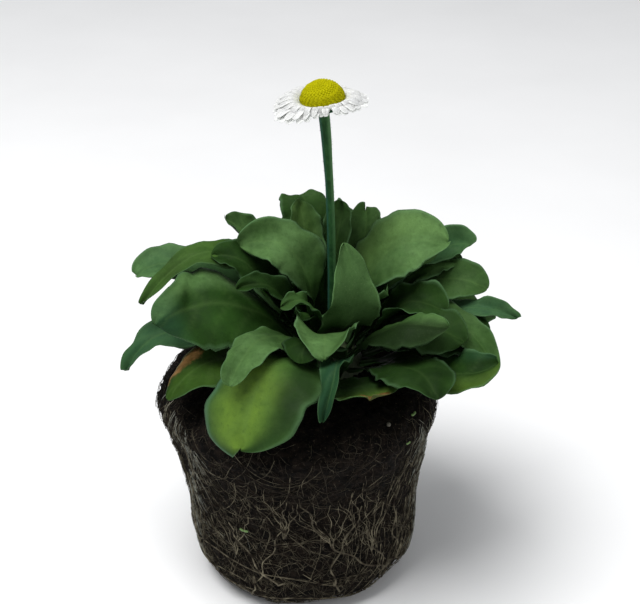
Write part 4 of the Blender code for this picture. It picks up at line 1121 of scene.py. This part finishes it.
# %% Add the stalk's down
HAIRS = 420
HAIR_HALF, HAIR_RISE = 0.035, 0.06  # mm
hair_chance = np.random.default_rng(11)
hairs = Bunch()
for _ in range(HAIRS):
    ring, corner = int(hair_chance.integers(12, STALK_RINGS)), int(hair_chance.integers(0, STALK_SIDES))
    skin = stalk_points[ring * STALK_SIDES + corner]
    angle = turns_of(STALK_SIDES)[corner]
    out = Vector((math.cos(angle), math.sin(angle), hair_chance.uniform(0.2, 0.9))).normalized()
    side = out.cross(Vector((0, 0, 1))).normalized() * HAIR_HALF * MM
    tip = skin + out * hair_chance.uniform(0.35, 0.75) * MM
    spike = [skin - side, skin + side, skin + Vector((0, 0, HAIR_RISE * MM)), tip]
    # The value 0.8 gives the hairs part of the stalk's painted light
    hairs.add(spike, ((0, 1, 3), (1, 2, 3), (2, 0, 3), (0, 2, 1)), 0.8)
down = hairs.make("stalk_down", stalk_finish, "right")
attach(down, "root")
print("hairs on the stalk:", HAIRS)

# %% [markdown]
# ## The head
#
# A daisy's head is many flowers on one cup. The white ones at the rim each carry one long petal, the ray;
# the yellow ones in the middle are tiny and packed along two sets of spirals. First the petals: a narrow
# strip, widest beyond its middle, with a blunt notched end and two grooves along it.

# %% The formula of a petal
PETAL_ROWS, PETAL_COLUMNS = 12, 9


def petal_faces(rows, columns):
    """The upper and the lower face of a strip, and the rim between them."""
    faces, under = [], rows * columns
    for row in range(rows - 1):
        for a in range(row * columns, (row + 1) * columns - 1):
            quad = (a, a + columns, a + columns + 1, a + 1)
            faces += [quad, tuple(under + k for k in quad[::-1])]
    rim = [*range(columns), *range(2 * columns - 1, under, columns)]
    rim += [*range(under - 2, under - columns - 1, -1), *range(under - 2 * columns, 0, -columns)]
    for here, there in zip(rim, rim[1:] + rim[:1]):
        faces.append((here, there, under + there, under + here))
    return faces


def petal(turn, start, end, arch, half_widths, thick, groove=0.0, notch=0.0, cup=0.0, side_bend=0.0):
    """Points and faces of a thin petal that points away from Z, from its (radius, height) ends in mm."""
    out = np.array([math.cos(turn), math.sin(turn), 0])
    side = np.array([-math.sin(turn), math.cos(turn), 0])
    share = np.sin(np.linspace(0, math.pi / 2, PETAL_ROWS))
    across = np.linspace(-1, 1, PETAL_COLUMNS)
    ripple = np.cos(across * math.pi * 3)
    reach = lerp(start[0], end[0], share)
    height = lerp(start[1], end[1], share) + arch * np.sin(math.pi * share)
    half = np.interp(share, (0, 0.65, 1), half_widths)
    half = half * np.where(share > 0.8, np.sqrt(np.clip(1 - ((share - 0.8) / 0.2) ** 2 * 0.75, 0, 1)), 1)
    along = reach[:, None] + notch * smooth((share - 0.75) / 0.25)[:, None] * ripple * 0.5
    lift = height[:, None] + cup * across**2 * half[:, None] + groove * ripple
    sideways = across * half[:, None] + side_bend * share[:, None] ** 2
    middle = out * along[..., None] + side * sideways[..., None] + np.array([0, 0, 1]) * lift[..., None]
    depth = (thick * lerp(0.5, 0.28, share)[:, None] * np.sqrt(1 - np.abs(across) ** 4 * 0.9))[..., None]
    upper, lower = middle + [0, 0, 0.5] * depth, middle - [0, 0, 0.5] * depth
    points = np.concatenate([upper.reshape(-1, 3), lower.reshape(-1, 3)]) * MM
    return points, petal_faces(PETAL_ROWS, PETAL_COLUMNS), np.tile(np.repeat(share, PETAL_COLUMNS), 2)


# %% [markdown]
# Three rings of petals lie over each other as on a ruffled skirt. No two are alike: turn, reach, droop and
# twist vary by small steps that repeat in every run.

# %% Set the white rays
RAY_LAYERS = (
    (34, (8.2, -0.35), (16.0, -2.6), 0.7),
    (32, (8.2, 0.1), (15.5, -1.4), 1.1),
    (28, (8.1, 0.6), (13.6, 1.3), 1.4),
)
PARTED = (math.radians(276), math.radians(290))


def ray_reach(turn):
    """How long a ray is for its layer: longest to the left and short in front, over the stalk."""
    back = max(0, math.cos(turn - math.radians(65))) ** 2
    return 1 - 0.06 * math.cos(turn) - 0.37 * max(0, -math.sin(turn)) ** 4 - 0.1 * back


def ray_droop(turn):
    """How much of its layer's droop a ray has: all of it on the left in front, and less elsewhere."""
    return lerp(0.35, 1, max(0, math.cos(turn - math.radians(212))) ** 2)


rays = Bunch()
number = 0
for layer, (count, start, end, arch) in enumerate(RAY_LAYERS):
    for k in range(count):
        number += 1
        vary = [even_jitter(number, kind) for kind in range(7)]
        turn = 2 * math.pi * (k + 0.37 * layer + 0.12 * vary[0]) / count
        if layer < 2 and PARTED[0] < turn < PARTED[1]:
            continue
        reach = max(end[0] * ray_reach(turn) + 0.6 * vary[1], start[0] + 1.3)
        droop = ray_droop(turn) if layer < 2 else lerp(0.1, 0.6, max(0, math.cos(turn - math.radians(145))))
        if layer == 2:
            droop -= 0.7 * max(0, math.cos(turn - math.radians(225)))
        tip = (reach, end[1] * droop + 0.15 * vary[2] + 0.06 * (-1) ** k)
        narrow = 1 - 0.4 * max(0, -math.sin(turn)) ** 4
        widths = np.array([1.0, 1.9 + 0.15 * vary[3], 1.5]) * narrow
        flat = 1 - 0.7 * max(0, math.cos(turn - math.radians(50)))
        rays.add(*petal(
            turn, (start[0] - 0.6, start[1]), tip, arch * flat + 0.1 * vary[4], widths, thick=0.3,
            groove=0.05, notch=0.12, cup=0.06 * vary[5], side_bend=0.4 * vary[6],
        ))
ray_finish = Finish("ray_white")
root_share = ray_finish.between("share", 0.0, 0.35)
ray_finish.colour = ray_finish.mix(root_share, (226, 230, 204), (246, 246, 242))
ray_finish.layers((ray_finish.times(ray_finish.patches((500, 3), (0.3, 0.7)), 0.4), (228, 232, 235)))
ray_finish.bump(ray_finish.noise(1600, 2), 0.2, 0.0002)
ray_finish.done(
    Roughness=0.6, Specular_IOR_Level=0.15,
    Subsurface_Weight=0.55, Subsurface_Radius=(1.0, 1.0, 0.97), Subsurface_Scale=0.003,
)
white = rays.make("white_rays", ray_finish, "share", head_matrix)
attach(white, "root")
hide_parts("ray_florets")
print("ray faces:", len(rays.faces))

# %% [markdown]
# The eye is a dome of small yellow flowers in golden spirals: each new one is turned 137.5 degrees from
# the last, which is how the plant itself sets them. Those at the rim are open, with five tiny lobes, and
# those in the middle are still round buds.

# %% Set the yellow eye
EYE_RADIUS, EYE_HEIGHT = 7.2, 6.5
EYE_FLORETS = 480
GOLDEN_TURN = math.pi * (3 - math.sqrt(5))
# A bud's outline and an open flower's, as (how wide, how high) from the foot up, for a size of 1
BUD = np.array(((0.55, -0.5), (0.85, 0.1), (0.9, 0.5), (0.55, 0.85), (0.2, 1.05)))
OPEN_FLOWER = np.array(((0.55, -0.5), (0.85, 0.1), (1.0, 0.5), (0.8, 0.9), (0.35, 0.6)))
FLORET_SIDES = 10
DOME_RINGS, DOME_SIDES, DOME_SWELL = 11, 32, 1.03

eye = Bunch()
for k in range(EYE_FLORETS):
    height = 1 - (k + 0.5) / EYE_FLORETS
    turn, flat = k * GOLDEN_TURN + 0.09 * even_jitter(k, 2) * (1 - height), math.sqrt(1 - height**2)
    away = EYE_RADIUS * flat
    seat = np.array([away * math.cos(turn), away * math.sin(turn), EYE_HEIGHT * height])
    square = unit(seat / np.array([EYE_RADIUS, EYE_RADIUS, EYE_HEIGHT]) ** 2)
    across = unit(np.cross(square, [0.2, 0.3, 1.0]))
    other = np.cross(square, across)
    opened = smooth((0.75 - height) / 0.35)
    size = 0.49 + 0.1 * even_jitter(k, 1)
    points, eye_painted_shade = [], []
    for ring, (wide, up) in enumerate(lerp(BUD, OPEN_FLOWER, opened)):
        for angle in turns_of(FLORET_SIDES):
            lobed = wide * (1 + 0.16 * opened * (ring >= 2) * math.cos(5 * angle))
            sideways = across * math.cos(angle) + other * math.sin(angle)
            points.append(seat + sideways * size * lobed + square * size * up)
            eye_painted_shade.append(opened * 0.6 + 0.4 * ring / 4)
    eye.add(np.array(points) * MM, tube_faces(len(BUD), FLORET_SIDES), eye_painted_shade)
dome = [(0, 0, EYE_HEIGHT * DOME_SWELL * MM)]
for ring in range(1, DOME_RINGS + 1):
    angle = math.pi / 2 * (1 - ring / DOME_RINGS)
    flat, height = EYE_RADIUS * DOME_SWELL * math.cos(angle), EYE_HEIGHT * DOME_SWELL * math.sin(angle)
    for turn in turns_of(DOME_SIDES):
        dome.append((flat * math.cos(turn) * MM, flat * math.sin(turn) * MM, height * MM))
dome.append((0, 0, -0.6 * MM))
eye.add(dome, ring_faces(DOME_RINGS, DOME_SIDES))

eye_finish = Finish("eye_yellow")
# Painted shade: florets are darker the lower they sit on the dome, and each is a little darker towards its top
eye_finish.colour = eye_finish.mix("opened", (168, 165, 1), (148, 144, 1))
eye_finish.layers((eye_finish.times(eye_finish.patches((900, 3), (0.35, 0.65)), 0.35), (188, 182, 3)))
eye_finish.bump(eye_finish.noise(2400, 2), 0.5, 0.0002)
eye_finish.done(Roughness=0.7, Specular_IOR_Level=0.06)
yellow_eye = eye.make("yellow_eye", eye_finish, "opened", head_matrix)
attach(yellow_eye, "root")
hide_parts("disc_florets")
print("eye faces:", len(eye.faces))

# %% [markdown]
# Under the rays sits the green cup with its ring of pointed bracts, which close round the head at night. The
# cup is turned like a vase, and the bracts are the petal formula again with a pointed end.

# %% Form the cup and its bracts
CUP = (
    (0, -0.9), (7.2, -1.0), (7.3, -1.4), (6.9, -1.8), (5.2, -2.6),
    (3.6, -3.3), (2.6, -3.75), (2.2, -3.88), (0, -3.9),
)
CUP_SIDES, CUP_PAINTED_LIGHT = 40, 0.2
BRACTS = 13
cup = Bunch()
points = [(0, 0, CUP[0][1] * MM)]
for radius, height in CUP[1:-1]:
    for turn in turns_of(CUP_SIDES):
        wide = radius * (1 + 0.02 * math.cos(13 * turn))
        points.append((wide * math.cos(turn) * MM, wide * math.sin(turn) * MM, height * MM))
points.append((0, 0, CUP[-1][1] * MM))
cup.add(points, ring_faces(len(CUP) - 2, CUP_SIDES), CUP_PAINTED_LIGHT)
for k, turn in enumerate(turns_of(BRACTS)):
    tip = (8.4 + 0.3 * even_jitter(k, 1), -1.9)
    cup.add(*petal(turn, (4.6, -1.9), tip, 0.15, (1.5, 1.3, 0.35), thick=1.0, groove=0.06, cup=0.25))
# The cup gets part of the stalk's painted bluish sheen; each bract goes from painted bluish sheen at its base
# to painted light at its tip
green_cup = cup.make("green_cup", stalk_finish, "right", head_matrix)
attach(green_cup, "root")
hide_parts("bracts")

# %% [markdown]
# ## Small things on the ball
#
# Three seedlings have come up on the side of the ball and near its rim, each a pair of tiny seed leaves, and
# one pale grain lies in the peat. They are ovals pressed onto the skin.

# %% Add the seedlings and the pale grain
SEEDLINGS = ((243, 0.52, 0.95), (318, 0.88, 0.6), (327, 0.955, 0.8))
GRAIN_TURN, GRAIN_RUN = 312, 0.975
GRAIN_SIZES = (0.8, 0.8, 0.7)  # mm
SEEDLING_LIFT, GRAIN_LIFT = 1.1 * MM, 0.9 * MM
OVAL_RINGS, OVAL_SIDES = 7, 12


def oval(centre, axes):
    """Points and faces of a smooth oval whose three half axes are given."""
    points = [centre + axes[2]]
    for ring in range(1, OVAL_RINGS + 1):
        lean = math.pi * ring / (OVAL_RINGS + 1)
        for turn in turns_of(OVAL_SIDES):
            flat = axes[0] * math.cos(turn) + axes[1] * math.sin(turn)
            points.append(centre + flat * math.sin(lean) + axes[2] * math.cos(lean))
    return [*points, centre - axes[2]], ring_faces(OVAL_RINGS, OVAL_SIDES)


def on_skin(turn, run, lift):
    skin, facing = ball_surface(math.radians(turn), run)
    side = Vector((0, 0, 1)).cross(facing).normalized()
    return skin + facing * lift, side, facing.cross(side), facing


sprout_finish = Finish("seed_leaf_green")
light_part = sprout_finish.patches((500, 3), (0.3, 0.7))
sprout_finish.colour = sprout_finish.mix(light_part, (74, 106, 46), (108, 138, 74))
sprout_finish.done(Roughness=0.5)
sprouts = Bunch()
for turn, run, size in SEEDLINGS:
    middle, side, up, facing = on_skin(turn, run, SEEDLING_LIFT)
    for way in (-1, 1):
        long = (side * way + up * 0.35).normalized()
        across = facing.cross(long)
        axes = long * size * MM, across * size * 0.6 * MM, facing * 0.25 * MM
        sprouts.add(*oval(middle + long * size * 0.95 * MM, axes))
seedlings = sprouts.make("seedlings", sprout_finish)
grain_finish = Finish("pale_grain")
grain_finish.colour = grain_finish.mix(grain_finish.noise(900, 3), (66, 64, 56), (104, 100, 88))
grain_finish.done(Roughness=0.8)
stones = Bunch()
middle, *ways = on_skin(GRAIN_TURN, GRAIN_RUN, GRAIN_LIFT)
stones.add(*oval(middle, [way * size * MM for way, size in zip(ways, GRAIN_SIZES)]))
grain = stones.make("pale_grain", grain_finish)
for thing, slot in ((seedlings, "leaf_green"), (grain, "root_tan")):
    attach(thing, "root")
